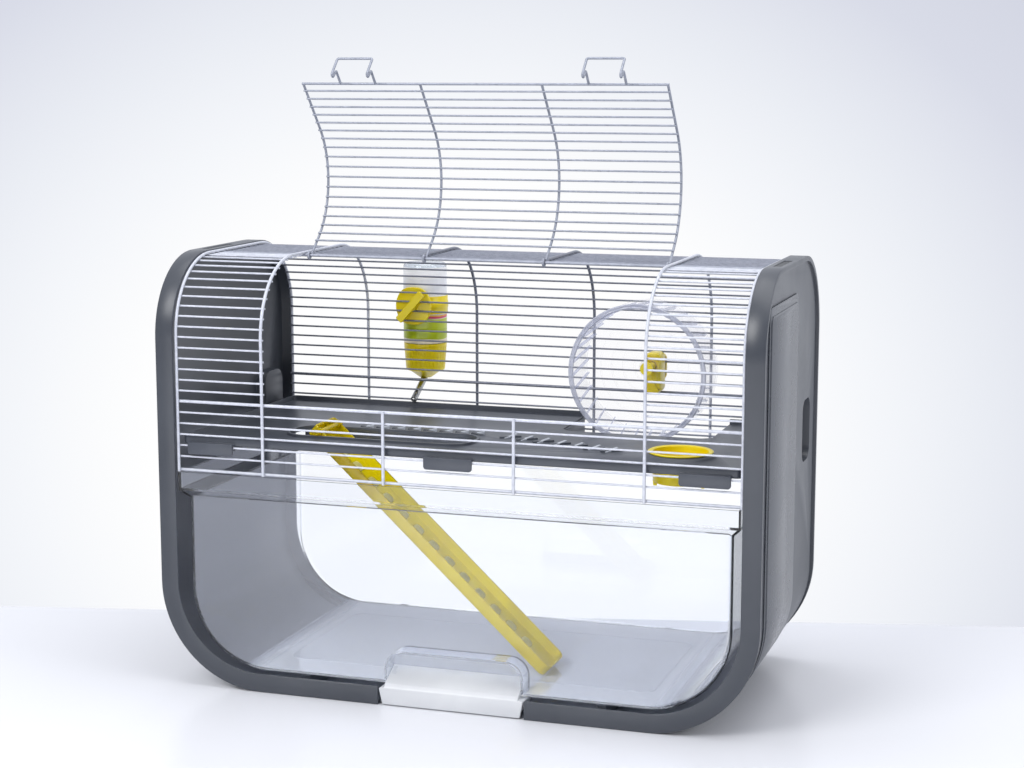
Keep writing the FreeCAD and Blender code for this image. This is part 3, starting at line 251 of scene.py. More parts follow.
wires = {  # one lacquer; its three tones are painted light and shade: the front bank is painted lighter as if lit, the door takes a middle tone, and the rear bank is painted darker as if in shade; film is in millimetres
    "front": {"low": "#c2c6d2", "high": "#d8dbe5", "film": 5, "rough": 0.4, "metal": 0.1},
    "door": {"low": "#8f94a1", "high": "#a5a9b6", "film": 5, "rough": 0.38, "metal": 0.3},
    "rear": {"low": "#777b88", "high": "#8b8f9c", "film": 5, "rough": 0.38, "metal": 0.3},
}
frontWirePaintedLit = paintedWire("lacqueredWireFrontPaintedLit", wires["front"])
doorWirePaintedShade = paintedWire("lacqueredWireDoorPaintedShade", wires["door"])
rearWirePaintedShade = paintedWire("lacqueredWireRearPaintedShade", wires["rear"])


def tintedClear(name, look):
    # yellow-tinted styrene: light soaks into it and comes out stronger yellow
    material, tree = newMaterial(name)
    place = addNode(tree, "TexCoord").outputs["Object"]
    cloud = addNode(tree, "TexNoise", {"Vector": place, "Scale": 1 / mm(look["cloud"]),
                                       "Detail": 2.0}).outputs["Fac"]
    tone = rampStops(addNode(tree, "ValToRGB", {"Fac": cloud}),
                     [(0.3, look["low"]), (0.7, look["high"])])
    bump = addNode(tree, "Bump", {"Height": cloud, "Strength": 0.1,
                                  "Distance": mm(0.3)}).outputs["Normal"]
    shader = addNode(tree, "BsdfPrincipled", {"Base Color": tone, "Normal": bump,
                                              "Roughness": look["rough"], "IOR": look["ior"],
                                              "Transmission Weight": look["clear"]})
    finishMaterial(tree, shader)
    return material


tints = {
    "ladder": {"low": "#f4dc00", "high": "#ffec0c", "cloud": 30, "rough": 0.18, "ior": 1.5,
               "clear": 0.6},
    "tread": {"low": "#f3e98a", "high": "#f7f0a6", "cloud": 12, "rough": 0.5, "ior": 1.5,
              "clear": 0.25},
}
ladderTint = tintedClear("styreneYellow", tints["ladder"])
treadTint = tintedClear("styreneYellowMatt", tints["tread"])


def bareMetal(name, look):
    # stainless tube, drawn and wiped: fine uneven marks
    material, tree = newMaterial(name)
    place = addNode(tree, "TexCoord").outputs["Object"]
    lines = addNode(tree, "TexNoise", {"Vector": place, "Scale": 1 / mm(look["lines"]),
                                       "Detail": 6.0}).outputs["Fac"]
    rough = addNode(tree, "MapRange", {
        "Value": lines, "To Min": look["rough"],
        "To Max": look["rough"] + look["uneven"]}).outputs["Result"]
    tone = rampStops(addNode(tree, "ValToRGB", {"Fac": lines}),
                     [(0.3, look["low"]), (0.7, look["high"])])
    shader = addNode(tree, "BsdfPrincipled", {"Base Color": tone, "Roughness": rough,
                                              "Metallic": 1.0})
    finishMaterial(tree, shader)
    return material


steel = {"low": "#9a9a98", "high": "#bdbdbb", "lines": 4, "rough": 0.15, "uneven": 0.15}
steelBare = bareMetal("stainlessDrawn", steel)
rubberSeal = mouldedPlastic("siliconeSeal", plastics["seal"])

# heights in millimetres where each plain band of the print begins
labelLook = {"low": 305, "high": 400, "slant": 0.02, "wave": 3, "waveLong": 26,
             "bands": [(305, "#f3e6c8"), (314.5, "#b3c414"), (326, "#c2d02a"), (337, "#e9e6cf"),
                       (338, "#e2506e"), (340, "#f2b640"), (341.5, "#f4f5f8"),
                       (342.5, "#4f8fce"), (345, "#f4f5f9"), (380, "#ffffff")]}


def printedFilm(name, look):
    # a paper-white film wrapped round the bottle, printed in plain bands
    material, tree = newMaterial(name)
    place = addNode(tree, "TexCoord").outputs["Object"]
    parts = addNode(tree, "SeparateXYZ", {"Vector": place})
    wave = addNode(tree, "TexNoise", {"Vector": place, "Scale": 1 / mm(look["waveLong"]),
                                      "Detail": 0.0}).outputs["Fac"]
    slope = addNode(tree, "Math", {0: parts.outputs["X"], 1: look["slant"], 2: parts.outputs["Z"]},
                    operation="MULTIPLY_ADD").outputs[0]
    level = addNode(tree, "Math", {0: wave, 1: mm(look["wave"]), 2: slope},
                    operation="MULTIPLY_ADD").outputs[0]
    share = addNode(tree, "MapRange", {"Value": level, "From Min": mm(look["low"]),
                                       "From Max": mm(look["high"])}).outputs["Result"]
    tall = look["high"] - look["low"]
    bands = [((start - look["low"]) / tall, code) for start, code in look["bands"]]
    tone = rampStops(addNode(tree, "ValToRGB", {"Fac": share}), bands, "CONSTANT")
    shader = addNode(tree, "BsdfPrincipled", {"Base Color": tone, "Roughness": 0.35,
                                              "Coat Weight": 0.3})
    finishMaterial(tree, shader)
    return material


labelFilm = printedFilm("printedLabelFilm", labelLook)

nodeFinish = {
    "frame_shell": framePlastic, "left_side_panel": panelPlastic, "right_side_panel": panelPlastic,
    "left_canopy_clip": blackPlastic, "right_canopy_clip": blackPlastic,
    "drawer_rails": framePlastic, "shelf": shelfPlastic, "tray": trayClear,
    "tray_pull": whitePlastic, "food_bowl": yellowPlastic, "ladder": ladderTint,
    "wheel_drum": wheelThin, "wheel_front_ring": wheelThin, "wheel_back_disc": wheelThin,
    "wheel_treads": treadThin, "wheel_axle": yellowPlastic, "wheel_bracket": yellowPlastic,
    "wheel_bracket_clamp": yellowPlastic, "water_bottle": bottleClear, "bottle_label": labelFilm,
    "bottle_cap": yellowPlastic, "bottle_gasket": rubberSeal, "spout_tube": steelBare,
    "spout_ball": steelBare, "bottle_holder": yellowPlastic, "bottle_lock": yellowPlastic,
    # the front wires take the tone painted lighter as if lit, the rear wires the tone painted
    # darker as if in shade, and the door wires the middle painted shade
    "front_bars": frontWirePaintedLit, "front_ribs": frontWirePaintedLit, "left_strip_bars": frontWirePaintedLit,
    "right_strip_bars": frontWirePaintedLit, "edge_arches": frontWirePaintedLit, "skirt_wires": frontWirePaintedLit,
    "sill_wire": frontWirePaintedLit, "side_arches": frontWirePaintedLit, "rear_bars": rearWirePaintedShade,
    "rear_belt_wire": rearWirePaintedShade, "rear_ribs": rearWirePaintedShade,
}
for name, node in nodes.items():
    material = nodeFinish.get(name, doorWirePaintedShade)  # what isn't listed is the door and its hinge
    node.data.materials.clear()
    node.data.materials.append(material)
print("materials on", len(nodes), "nodes")


def clearSelection():
    if bpy.context.object and bpy.context.object.mode == "EDIT":
        bpy.ops.object.mode_set(mode="OBJECT")
    bpy.ops.object.select_all(action="DESELECT")


def activate(piece):
    clearSelection()
    piece.select_set(True)
    bpy.context.view_layer.objects.active = piece


def openPiece(name):  # names the fresh primitive, fixes its place and opens it in edit mode
    piece = bpy.context.object
    piece.name = piece.data.name = name
    bpy.ops.object.transform_apply(location=True, rotation=True, scale=True)
    bpy.ops.object.mode_set(mode="EDIT")
    bpy.ops.mesh.select_mode(type="VERT")
    bpy.ops.mesh.select_all(action="SELECT")
    return piece


def softenEdges(piece, width, segments=2, angle=35):  # the small radius a mould leaves
    bevel = piece.modifiers.new("edgeRadius", "BEVEL")
    bevel.width = mm(width)
    bevel.segments = segments
    bevel.limit_method = "ANGLE"
    bevel.angle_limit = math.radians(angle)
    bevel.use_clamp_overlap = False
    activate(piece)
    bpy.ops.object.modifier_apply(modifier=bevel.name)


def finishPiece(piece, material, body, replaced=(), smooth=32, hollow=False):
    activate(piece)
    bpy.ops.object.transform_apply(location=True, rotation=True, scale=True)
    bpy.ops.object.mode_set(mode="EDIT")
    bpy.ops.mesh.select_all(action="SELECT")
    bpy.ops.mesh.remove_doubles(threshold=1e-6)
    if not hollow:  # an inner wall faces the other way and stays so
        bpy.ops.mesh.normals_make_consistent(inside=False)
    bpy.ops.object.mode_set(mode="OBJECT")
    bpy.ops.object.shade_smooth_by_angle(angle=math.radians(smooth))
    piece.data.materials.clear()
    piece.data.materials.append(material)
    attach(piece, body)
    if replaced:
        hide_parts(*replaced)
    return piece


def turnedPiece(name, rings, segments=64):  # a circle drawn up ring by ring: (radius, height)
    clearSelection()
    radius, height = rings[0]
    bpy.ops.mesh.primitive_circle_add(vertices=segments, radius=mm(radius),
                                      location=(0, 0, mm(height)))
    piece = openPiece(name)
    for (fromRadius, fromHeight), (toRadius, toHeight) in zip(rings, rings[1:]):
        bpy.ops.mesh.extrude_region_move(
            TRANSFORM_OT_translate={"value": (0, 0, mm(toHeight - fromHeight))})
        size = toRadius / fromRadius
        bpy.ops.transform.resize(value=(size, size, 1), center_override=(0, 0, mm(toHeight)))
    bpy.ops.mesh.select_all(action="SELECT")
    bpy.ops.mesh.remove_doubles(threshold=1e-6)
    bpy.ops.mesh.select_all(action="DESELECT")
    bpy.ops.mesh.select_mode(type="EDGE")
    bpy.ops.mesh.select_non_manifold(extend=False)
    bpy.ops.mesh.fill_holes(sides=0)
    bpy.ops.mesh.select_mode(type="VERT")
    bpy.ops.mesh.select_all(action="SELECT")
    bpy.ops.mesh.normals_make_consistent(inside=False)
    bpy.ops.object.mode_set(mode="OBJECT")
    return piece


def boxPiece(name, low, high):  # a block between two corners in millimetres
    clearSelection()
    middle = [mm(a + b) / 2 for a, b in zip(low, high)]
    bpy.ops.mesh.primitive_cube_add(size=1, location=middle)
    piece = openPiece(name)
    bpy.ops.transform.resize(value=[mm(b - a) for a, b in zip(low, high)],
                             center_override=middle)
    bpy.ops.object.mode_set(mode="OBJECT")
    return piece


def pickFaces(piece, test):  # selects faces by their middle and normal, and opens the piece
    activate(piece)
    bpy.ops.object.mode_set(mode="EDIT")
    bpy.ops.mesh.select_mode(type="FACE")
    bpy.ops.mesh.select_all(action="DESELECT")
    bpy.ops.object.mode_set(mode="OBJECT")
    for face in piece.data.polygons:
        face.select = bool(test(face.center / mm(1), face.normal))
    bpy.ops.object.mode_set(mode="EDIT")


def pickEdges(piece, test):  # selects edges by their middle and direction, and opens the piece
    activate(piece)
    bpy.ops.object.mode_set(mode="EDIT")
    bpy.ops.mesh.select_mode(type="EDGE")
    bpy.ops.mesh.select_all(action="DESELECT")
    bpy.ops.object.mode_set(mode="OBJECT")
    for edge in piece.data.edges:
        start, end = [piece.data.vertices[v].co / mm(1) for v in edge.vertices]
        edge.select = bool(test((start + end) / 2, end - start))
    bpy.ops.object.mode_set(mode="EDIT")


def pickPoints(piece, test):  # selects points by their place, and opens the piece
    activate(piece)
    bpy.ops.object.mode_set(mode="EDIT")
    bpy.ops.mesh.select_mode(type="VERT")
    bpy.ops.mesh.select_all(action="DESELECT")
    bpy.ops.object.mode_set(mode="OBJECT")
    for point in piece.data.vertices:
        point.select = bool(test(point.co / mm(1)))
    bpy.ops.object.mode_set(mode="EDIT")


def copyPiece(piece, move):  # a copy with its own mesh, moved by millimetres
    activate(piece)
    bpy.ops.object.duplicate(linked=False)
    twin = bpy.context.object
    twin.location = [mm(a) for a in move]
    bpy.ops.object.transform_apply(location=True, rotation=True, scale=True)
    return twin


def joinPieces(main, *others):
    clearSelection()
    for other in others:
        other.select_set(True)
    main.select_set(True)
    bpy.context.view_layer.objects.active = main
    bpy.ops.object.join()
    return main


def standAt(piece, place, turn=(0, 0, 0)):  # turns in degrees, then moves, then fixes both
    activate(piece)
    piece.rotation_euler = [math.radians(a) for a in turn]
    piece.location = [mm(a) for a in place]
    bpy.ops.object.transform_apply(location=True, rotation=True, scale=True)
    return piece


def copyOfNode(name, node, edge):
    # a CAD node's own mesh, welded and cleaned, so that its sharp edges can take a radius
    clearSelection()
    piece = bpy.data.objects.new(name, nodes[node].data.copy())
    bpy.context.scene.collection.objects.link(piece)
    activate(piece)
    bpy.ops.object.mode_set(mode="EDIT")
    bpy.ops.mesh.select_all(action="SELECT")
    bpy.ops.mesh.remove_doubles(threshold=1e-6)
    bpy.ops.mesh.dissolve_limited(angle_limit=math.radians(0.5))
    bpy.ops.object.mode_set(mode="OBJECT")
    softenEdges(piece, edge, angle=40)
    return piece


# these mouldings keep their shape and take the small edge radius that catches the light
mouldings = [
    ("mouldedFrame", "frame_shell", 0.6, framePlastic, "frame", "frame_plastic"),
    ("leftPanel", "left_side_panel", 0.5, panelPlastic, "frame", "frame_plastic"),
    ("rightPanel", "right_side_panel", 0.5, panelPlastic, "frame", "frame_plastic"),
    ("drawerPull", "tray_pull", 0.7, whitePlastic, "drawer", "white_plastic"),
    ("wheelBracket", "wheel_bracket", 2.2, yellowPlastic, "frame", "yellow_plastic"),
]
for pieceName, node, edge, material, body, slot in mouldings:
    moulding = copyOfNode(pieceName, node, edge)
    pickPoints(moulding, lambda at: at.z < 0)  # the feet stay flat on the table
    bpy.ops.transform.resize(value=(1, 1, 0), center_override=(0, 0, 0))
    finishPiece(moulding, material, body, (node,))
    print("softened", pieceName)

# shelf: its hatch and wheel bay have turned-down walls, and its grips are painted pale grey as a
# painted highlight
shelf = {"deck": 244.55, "edge": 0.35, "hatchWall": (-196, -21.9, 231.5, -4, -20.3, 243.5),
         "bayWall": (57.4, 43, 224, 59.6, 121, 243.5), "gripLong": 15, "gripWide": 3.6,
         "gripRise": 3.6, "gripSunk": 0.4, "gripLow": 0.6, "teeth": 8,
         "toothStart": (-133.5, -8.5), "toothPitch": 17, "toothTurn": 18, "louvres": 7,
         "louvreStart": (22, -14), "louvreStep": (19, -6.5), "louvreTurn": 52}


def makeShelf():
    deck = copyOfNode("shelfTray", "shelf", shelf["edge"])
    walls = []
    for wall in (shelf["hatchWall"], shelf["bayWall"]):
        block = boxPiece("turnedWall", wall[:3], wall[3:])
        softenEdges(block, 0.4, 2)
        walls.append(block)
    joinPieces(deck, *walls)
    finishPiece(deck, shelfPlastic, "frame", ("shelf",))

    long, wide = shelf["gripLong"] / 2, shelf["gripWide"] / 2
    sunk, low, rise = shelf["gripSunk"], shelf["gripLow"], shelf["gripRise"]
    places = [(shelf["toothStart"][0] + n * shelf["toothPitch"], shelf["toothStart"][1],
               shelf["toothTurn"]) for n in range(shelf["teeth"])]
    places += [(shelf["louvreStart"][0] + n * shelf["louvreStep"][0],
                shelf["louvreStart"][1] + n * shelf["louvreStep"][1],
                shelf["louvreTurn"]) for n in range(shelf["louvres"])]
    grips = []
    for x, y, turn in places:
        grip = boxPiece("shelfGrips", (-long, -wide, -sunk), (long, wide, low))
        pickEdges(grip, lambda at, along: at.x > long - 1 and at.z > 0.3 and abs(along.y) > 1)
        bpy.ops.transform.translate(value=(0, 0, mm(rise - low)))  # a wedge, high at one end
        softenEdges(grip, 0.5, 3)
        grips.append(standAt(grip, (x, y, shelf["deck"]), (0, 0, turn)))
    joinPieces(grips[0], *grips[1:])
    # the grips' pale grey is a painted highlight
    finishPiece(grips[0], ribPaintedHighlight, "frame")


makeShelf()
print("shelf")

# ladder: a shallow channel with rounded treads, hung by two pins at its head
ladder = {"pin": (-158.0, -49.0, 249.85), "slope": 42.9, "wide": 49.0, "wall": 2.0, "deck": -9.0,
          "lip": 3.0, "tab": 8.0, "foot": 325.2, "footRound": 8.0, "pinRadius": 2.5,
          "pinReach": 31.0, "cheek": 4.5, "treadPitch": 22.0, "treadLong": 11.5,
          "treadWide": 18.0, "treadTall": 1.4, "treadRound": 4.5, "treadSunk": 0.4,
          "treads": 13, "firstTread": 20.0, "pinEdge": 0.6, "cheekEdge": 0.4}


def makeLadder():
    half = ladder["wide"] / 2
    floor = ladder["deck"] + ladder["wall"]
    channel = boxPiece("climbingLadder", (-ladder["tab"], -half, ladder["deck"]),
                       (ladder["foot"], half, ladder["lip"]))
    pickEdges(channel, lambda at, along: abs(along.z) > 5 and at.x > 100)
    bpy.ops.mesh.bevel(offset=mm(ladder["footRound"]), segments=6)
    pickEdges(channel, lambda at, along: abs(along.z) > 5 and at.x < 0)
    bpy.ops.mesh.bevel(offset=mm(ladder["footRound"] / 2), segments=4)
    pickFaces(channel, lambda at, way: way.z > 0.5)
    bpy.ops.mesh.inset(thickness=mm(ladder["wall"]))
    bpy.ops.mesh.extrude_region_move(
        TRANSFORM_OT_translate={"value": (0, 0, mm(floor - ladder["lip"]))})
    softenEdges(channel, 0.6, 3)

    first, treadHalf = ladder["firstTread"], ladder["treadWide"] / 2
    tread = boxPiece("tread", (first, -treadHalf, floor - ladder["treadSunk"]),
                     (first + ladder["treadLong"], treadHalf, floor + ladder["treadTall"]))
    pickEdges(tread, lambda at, along: abs(along.z) > 0.5)
    bpy.ops.mesh.bevel(offset=mm(ladder["treadRound"]), segments=5)
    softenEdges(tread, 0.4, 2)
    treads = [copyPiece(tread, (n * ladder["treadPitch"], 0, 0))
              for n in range(1, ladder["treads"])]
    joinPieces(tread, *treads)
    standAt(tread, ladder["pin"], (0, ladder["slope"], 0))
    tread.name = tread.data.name = "ladderTreads"
    finishPiece(tread, treadTint, "climbing_ladder")

    radius, reach, edge = ladder["pinRadius"], ladder["pinReach"], ladder["pinEdge"]
    pin = turnedPiece("pin", [(radius - edge, -reach), (radius, edge - reach),
                              (radius, reach - edge), (radius - edge, reach)], 28)
    standAt(pin, (0, 0, 0), (90, 0, 0))
    disc, edge, thick = ladder["cheek"], ladder["cheekEdge"], ladder["wall"]
    cheek = turnedPiece("cheek", [(disc - edge, 0), (disc, edge), (disc, thick - edge),
                                  (disc - edge, thick)], 32)
    standAt(cheek, (0, -half + thick, 0), (90, 0, 0))
    joinPieces(channel, pin, cheek, copyPiece(cheek, (0, 2 * half - thick, 0)))
    standAt(channel, ladder["pin"], (0, ladder["slope"], 0))
    finishPiece(channel, ladderTint, "climbing_ladder", ("ladder",))


makeLadder()
print("ladder")

# running wheel: the front rim is two rolled beads joined by a thin web
wheel = {"middle": (134.0, 304.0), "front": 47.2, "outer": 69.8, "inner": 66.7, "bead": 1.05,
         "beadPoints": 9, "around": 144}


def makeWheelRim():
    def rolledBead(radius, start, stop):
        turns = [math.radians(start + (stop - start) * n / (wheel["beadPoints"] - 1))
                 for n in range(wheel["beadPoints"])]
        return [(radius + wheel["bead"] * math.cos(t), wheel["bead"] * math.sin(t)) for t in turns]

    outline = rolledBead(wheel["outer"], -150, 150) + rolledBead(wheel["inner"], 30, 330)
    rim = turnedPiece("wheelRim", outline + outline[:1], wheel["around"])
    standAt(rim, (wheel["middle"][0], wheel["front"], wheel["middle"][1]), (90, 0, 0))
    finishPiece(rim, rimClear, "running_wheel", ("wheel_front_ring",), 60)


makeWheelRim()
print("wheel rim")

# food bowl: a pressed-in cup with a rolled rim and two short clips below
bowl = {"middle": (205.0, -57.0), "top": 250.4, "rim": 31.0, "mouth": 28.0, "foot": 26.0,
        "deep": 30.0, "wall": 1.5, "clip": (2.4, 2.4, 5.8), "clipIn": 3.0}


def makeBowl():
    top, rim, mouth, foot, wall = [bowl[k] for k in ("top", "rim", "mouth", "foot", "wall")]
    base = top - bowl["deep"]
    rings = [(foot - 4, base), (foot - 1.2, base + 0.4), (foot, base + 2), (mouth - 0.6, top - 3),
             (mouth, top - 1.6), (rim - 0.8, top - 1.8), (rim, top - 1.2), (rim, top - 0.5),
             (rim - 0.9, top), (mouth - 0.4, top), (mouth - wall - 0.2, top - 0.8),
             (mouth - wall - 0.6, top - 3), (foot - wall, base + 4),
             (foot - wall - 2.5, base + wall + 0.3), (foot - wall - 7, base + wall)]
    cup = standAt(turnedPiece("foodBowl", rings, 80), (*bowl["middle"], 0))
    wide, thick, tall = bowl["clip"]
    middleX, middleY = bowl["middle"]
    out = foot - bowl["clipIn"]
    clip = boxPiece("clip", (middleX - out - wide, middleY - 6 - thick / 2, base + 2 - tall),
                    (middleX - out + wide, middleY - 6 + thick / 2, base + 2))
    pickFaces(clip, lambda at, way: way.z < -0.5)
    bpy.ops.transform.resize(value=(0.7, 0.8, 1))
    softenEdges(clip, 0.4, 2)
    joinPieces(cup, clip, copyPiece(clip, (2 * out, 0, 0)))
    finishPiece(cup, yellowPlastic, "bowl", ("food_bowl",), 40)


makeBowl()
print("bowl")

# bottle: a straight clear cylinder hung upside down in a printed sleeve, with a ribbed cap
bottle = {"middle": (-134.0, 162.3), "radius": 23.4, "head": 398.0, "shoulder": 311.2,
          "neck": 303.0, "wall": 1.1, "labelLow": 311.4, "labelHigh": 393.5, "film": 0.18,
          "capHead": 310.6, "capFoot": 281.0, "capWide": 23.3, "capNarrow": 21.2, "ribDepth": 0.35,
          "ribs": 30, "ribInset": 0.25, "nose": 272.0, "tube": 3.6, "flat": 16.0, "around": 96,
          "filmGap": 0.05}


def makeBottle():
    radius, wall, head = bottle["radius"], bottle["wall"], bottle["head"]
    neck, shoulder, flat = bottle["neck"], bottle["shoulder"], bottle["flat"]
    outside = [(flat, neck), (radius - 2.4, neck), (radius - 1.8, neck + 1),
               (radius - 1.8, shoulder), (radius, shoulder + 0.4), (radius, head - 4),
               (radius - 0.7, head - 1.6), (radius - 2.4, head - 0.3), (radius - 4.5, head),
               (flat, head - 0.2)]
    inside = [(flat, head - 0.2 - wall), (radius - 4.5, head - wall),
              (radius - wall - 1.2, head - 2.4), (radius - wall, head - 4.4),
              (radius - wall, shoulder + 2), (radius - wall - 1.8, shoulder),
              (radius - wall - 1.8, neck + wall), (flat, neck + wall)]
    place = (*bottle["middle"], 0)
    body = standAt(turnedPiece("drinkingBottle", outside, bottle["around"]), place)
    hollow = standAt(turnedPiece("hollow", inside, bottle["around"]), place)
    pickFaces(hollow, lambda at, way: True)
    bpy.ops.mesh.flip_normals()
    joinPieces(body, hollow)
    finishPiece(body, bottleClear, "frame", ("water_bottle",), 40, True)

    low, high = bottle["labelLow"], bottle["labelHigh"]
    inside = radius + bottle["filmGap"]
    outside = radius + bottle["filmGap"] + bottle["film"]
    outline = [(inside, low), (outside, low), (outside, high), (inside, high), (inside, low)]
    sleeve = standAt(turnedPiece("printedSleeve", outline, bottle["around"]), place)
    finishPiece(sleeve, labelFilm, "frame", ("bottle_label",), 40)


def makeCap():
    head, foot, nose, tube = [bottle[k] for k in ("capHead", "capFoot", "nose", "tube")]
    wide, narrow = bottle["capWide"], bottle["capNarrow"]
    columns = bottle["ribs"] * 4
    rings = [(tube, nose), (tube + 2.6, nose), (tube + 3.6, nose + 0.6),
             (narrow - 4.6, foot - 1.6), (narrow - 1.2, foot - 0.4), (narrow - 0.3, foot),
             (narrow, foot + 0.8), (narrow + 0.15, foot + 3), (wide - 0.1, head - 3.2),
             (wide, head - 2.4), (wide, head - 0.6), (wide - 0.6, head), (wide - 1.4, head),
             (wide - 1.4, head - 8), (wide - 5, head - 8.6), (wide - 5, foot + 6),
             (tube, foot + 6), (tube, nose)]
    cap = turnedPiece("bottleCap", rings, columns)

    def groove(at, way):  # one column of faces in four on the gripping band
        turn = math.degrees(math.atan2(at.y, at.x)) % 360
        column = int(turn / 360 * columns + 0.001)
        return (math.hypot(at.x, at.y) > narrow - 1 and foot + 3 < at.z < head - 3
                and column % 4 == 0)

    pickFaces(cap, groove)
    bpy.ops.mesh.inset(thickness=mm(bottle["ribInset"]), depth=-mm(bottle["ribDepth"]),
                       use_individual=True)
    standAt(cap, (*bottle["middle"], 0))
    finishPiece(cap, yellowPlastic, "frame", ("bottle_cap",), 40)


makeBottle()
makeCap()
print("bottle and cap")

# bottle holder: a lobed plate behind the bars, a band round the bottle and a turning bar
holder = {"middle": (-137.5, 352.8), "half": 20.0, "tall": 22.0, "plateBack": 138.0,
          "plateFront": 134.4, "notch": 1.7, "bandLow": 343.2, "bandHigh": 362.4,
          "bandInside": 23.75, "bandOutside": 25.15, "stem": 5.0, "stemFront": 127.4,
          "barFront": 123.8, "barBack": 127.8, "barLong": 40.0, "barWide": 8.4, "barTurn": -41.5,
          "barCorner": 1.8, "barInset": 0.9, "barFaceOut": 0.01,
          "dips": ((0.3, 10), (0.35, 7), (0.35, 4)), "block": (11, 13), "blockDeep": 3.4}


def makeHolder():
    middleX, middleZ = holder["middle"]
    thick = holder["plateBack"] - holder["plateFront"]
    plate = turnedPiece("bottleHolder", [(holder["half"], 0), (holder["half"], thick)], 72)
    activate(plate)
    bpy.ops.object.mode_set(mode="EDIT")
    bpy.ops.mesh.select_all(action="SELECT")
    bpy.ops.transform.resize(value=(1, holder["tall"] / holder["half"], 1))
    for share, reach in holder["dips"]:  # the dips at its top and bottom, in three steps
        for side in (1, -1):
            pickPoints(plate, lambda at: abs(at.x) < reach and at.y * side > 0)
            bpy.ops.transform.translate(value=(0, -side * mm(holder["notch"] * share), 0))
    softenEdges(plate, 0.9, 3, 50)
    standAt(plate, (middleX, holder["plateBack"], middleZ), (90, 0, 0))

    low, high = holder["bandLow"], holder["bandHigh"]
    inside, outside = holder["bandInside"], holder["bandOutside"]
    third = (high - low) / 3
    outline = [(inside, low), (outside - 0.9, low), (outside - 0.5, low + 0.5),
               (outside - 0.5, low + third - 0.6), (outside, low + third),
               (outside, high - third), (outside - 0.5, high - third + 0.6),
               (outside - 0.5, high - 0.5), (outside - 0.9, high), (inside, high), (inside, low)]
    band = standAt(turnedPiece("band", outline, bottle["around"]), (*bottle["middle"], 0))
    left, right = holder["block"]
    block = boxPiece("block", (middleX - left, holder["plateBack"] - 1, low + 2),
                     (middleX + right, holder["plateBack"] + holder["blockDeep"], high - 2))
    softenEdges(block, 0.8, 2)
    stem = turnedPiece("stem", [(holder["stem"], 0), (holder["stem"], thick),
                                (holder["stem"], holder["plateFront"] - holder["stemFront"])], 32)
    standAt(stem, (middleX, holder["plateFront"], middleZ), (90, 0, 0))
    joinPieces(plate, band, block, stem)
    finishPiece(plate, yellowPlastic, "frame", ("bottle_holder",), 40)

    long, wide = holder["barLong"] / 2, holder["barWide"] / 2
    deep = holder["barBack"] - holder["barFront"]
    bar = boxPiece("turningBar", (-wide, 0, -long), (wide, deep, long))
    pickEdges(bar, lambda at, along: abs(along.y) > 3)
    bpy.ops.mesh.bevel(offset=mm(holder["barCorner"]), segments=4)
    pickFaces(bar, lambda at, way: way.y < -0.5)
    bpy.ops.mesh.inset(thickness=mm(holder["barInset"]))
    bpy.ops.transform.translate(value=(0, -mm(holder["barFaceOut"]), 0))
    softenEdges(bar, 0.5, 2)
    standAt(bar, (middleX, holder["barFront"], middleZ), (0, -holder["barTurn"], 0))
    finishPiece(bar, yellowPlastic, "turn_lock", ("bottle_lock",), 40)


makeHolder()
print("bottle holder")

# studio: a pale table in metres, and a backdrop that is brightest behind the cage
studio = {"tableTurn": 14.0, "tableWide": 9.0, "tableDeep": 5.0, "backEdge": (-0.046, 0.1972),
          "table": "#e3e4e9", "tableRough": (0.22, 0.3), "glow": "#f1f4fc", "glowFront": 0.34,
          "glowBack": 0.95, "glowTop": 0.85, "right": (3.166, 1.044, 0.0),
          "up": (-0.196, 0.593, 3.951), "glowShift": (-0.1, -0.12), "seenThrough": 1.1,
          "seen": [(0.12, "#ffffff"), (0.24, "#f5f7fb"), (0.38, "#eaedf4"), (0.6, "#d9dce8"),
                   (0.85, "#d2d5e2")]}


def makeTable():
    bpy.ops.object.select_all(action="DESELECT")
    bpy.ops.mesh.primitive_plane_add(size=1, location=(0, 0, 0))
    table = bpy.context.object
    table.name = "studioTable"
    table.scale = (studio["tableWide"], studio["tableDeep"], 1)
    turn = math.radians(studio["tableTurn"])
    edgeX, edgeY = studio["backEdge"]
    table.rotation_euler = (0, 0, turn)
    table.location = (edgeX + math.sin(turn) * studio["tableDeep"] / 2,
                      edgeY - math.cos(turn) * studio["tableDeep"] / 2, -mm(0.2))
    material, tree = newMaterial("tableLaminate")  # pale satin laminate, a weak blurred reflection
    place = addNode(tree, "TexCoord").outputs["Object"]
    cloud = addNode(tree, "TexNoise", {"Vector": place, "Scale": 3.0}).outputs["Fac"]
    smooth, dull = studio["tableRough"]
    rough = addNode(tree, "MapRange", {"Value": cloud, "To Min": smooth,
                                       "To Max": dull}).outputs["Result"]
    shader = addNode(tree, "BsdfPrincipled", {"Base Color": hexColour(studio["table"]),
                                              "Roughness": rough, "Specular IOR Level": 0.3})
    finishMaterial(tree, shader)
    table.data.materials.append(material)


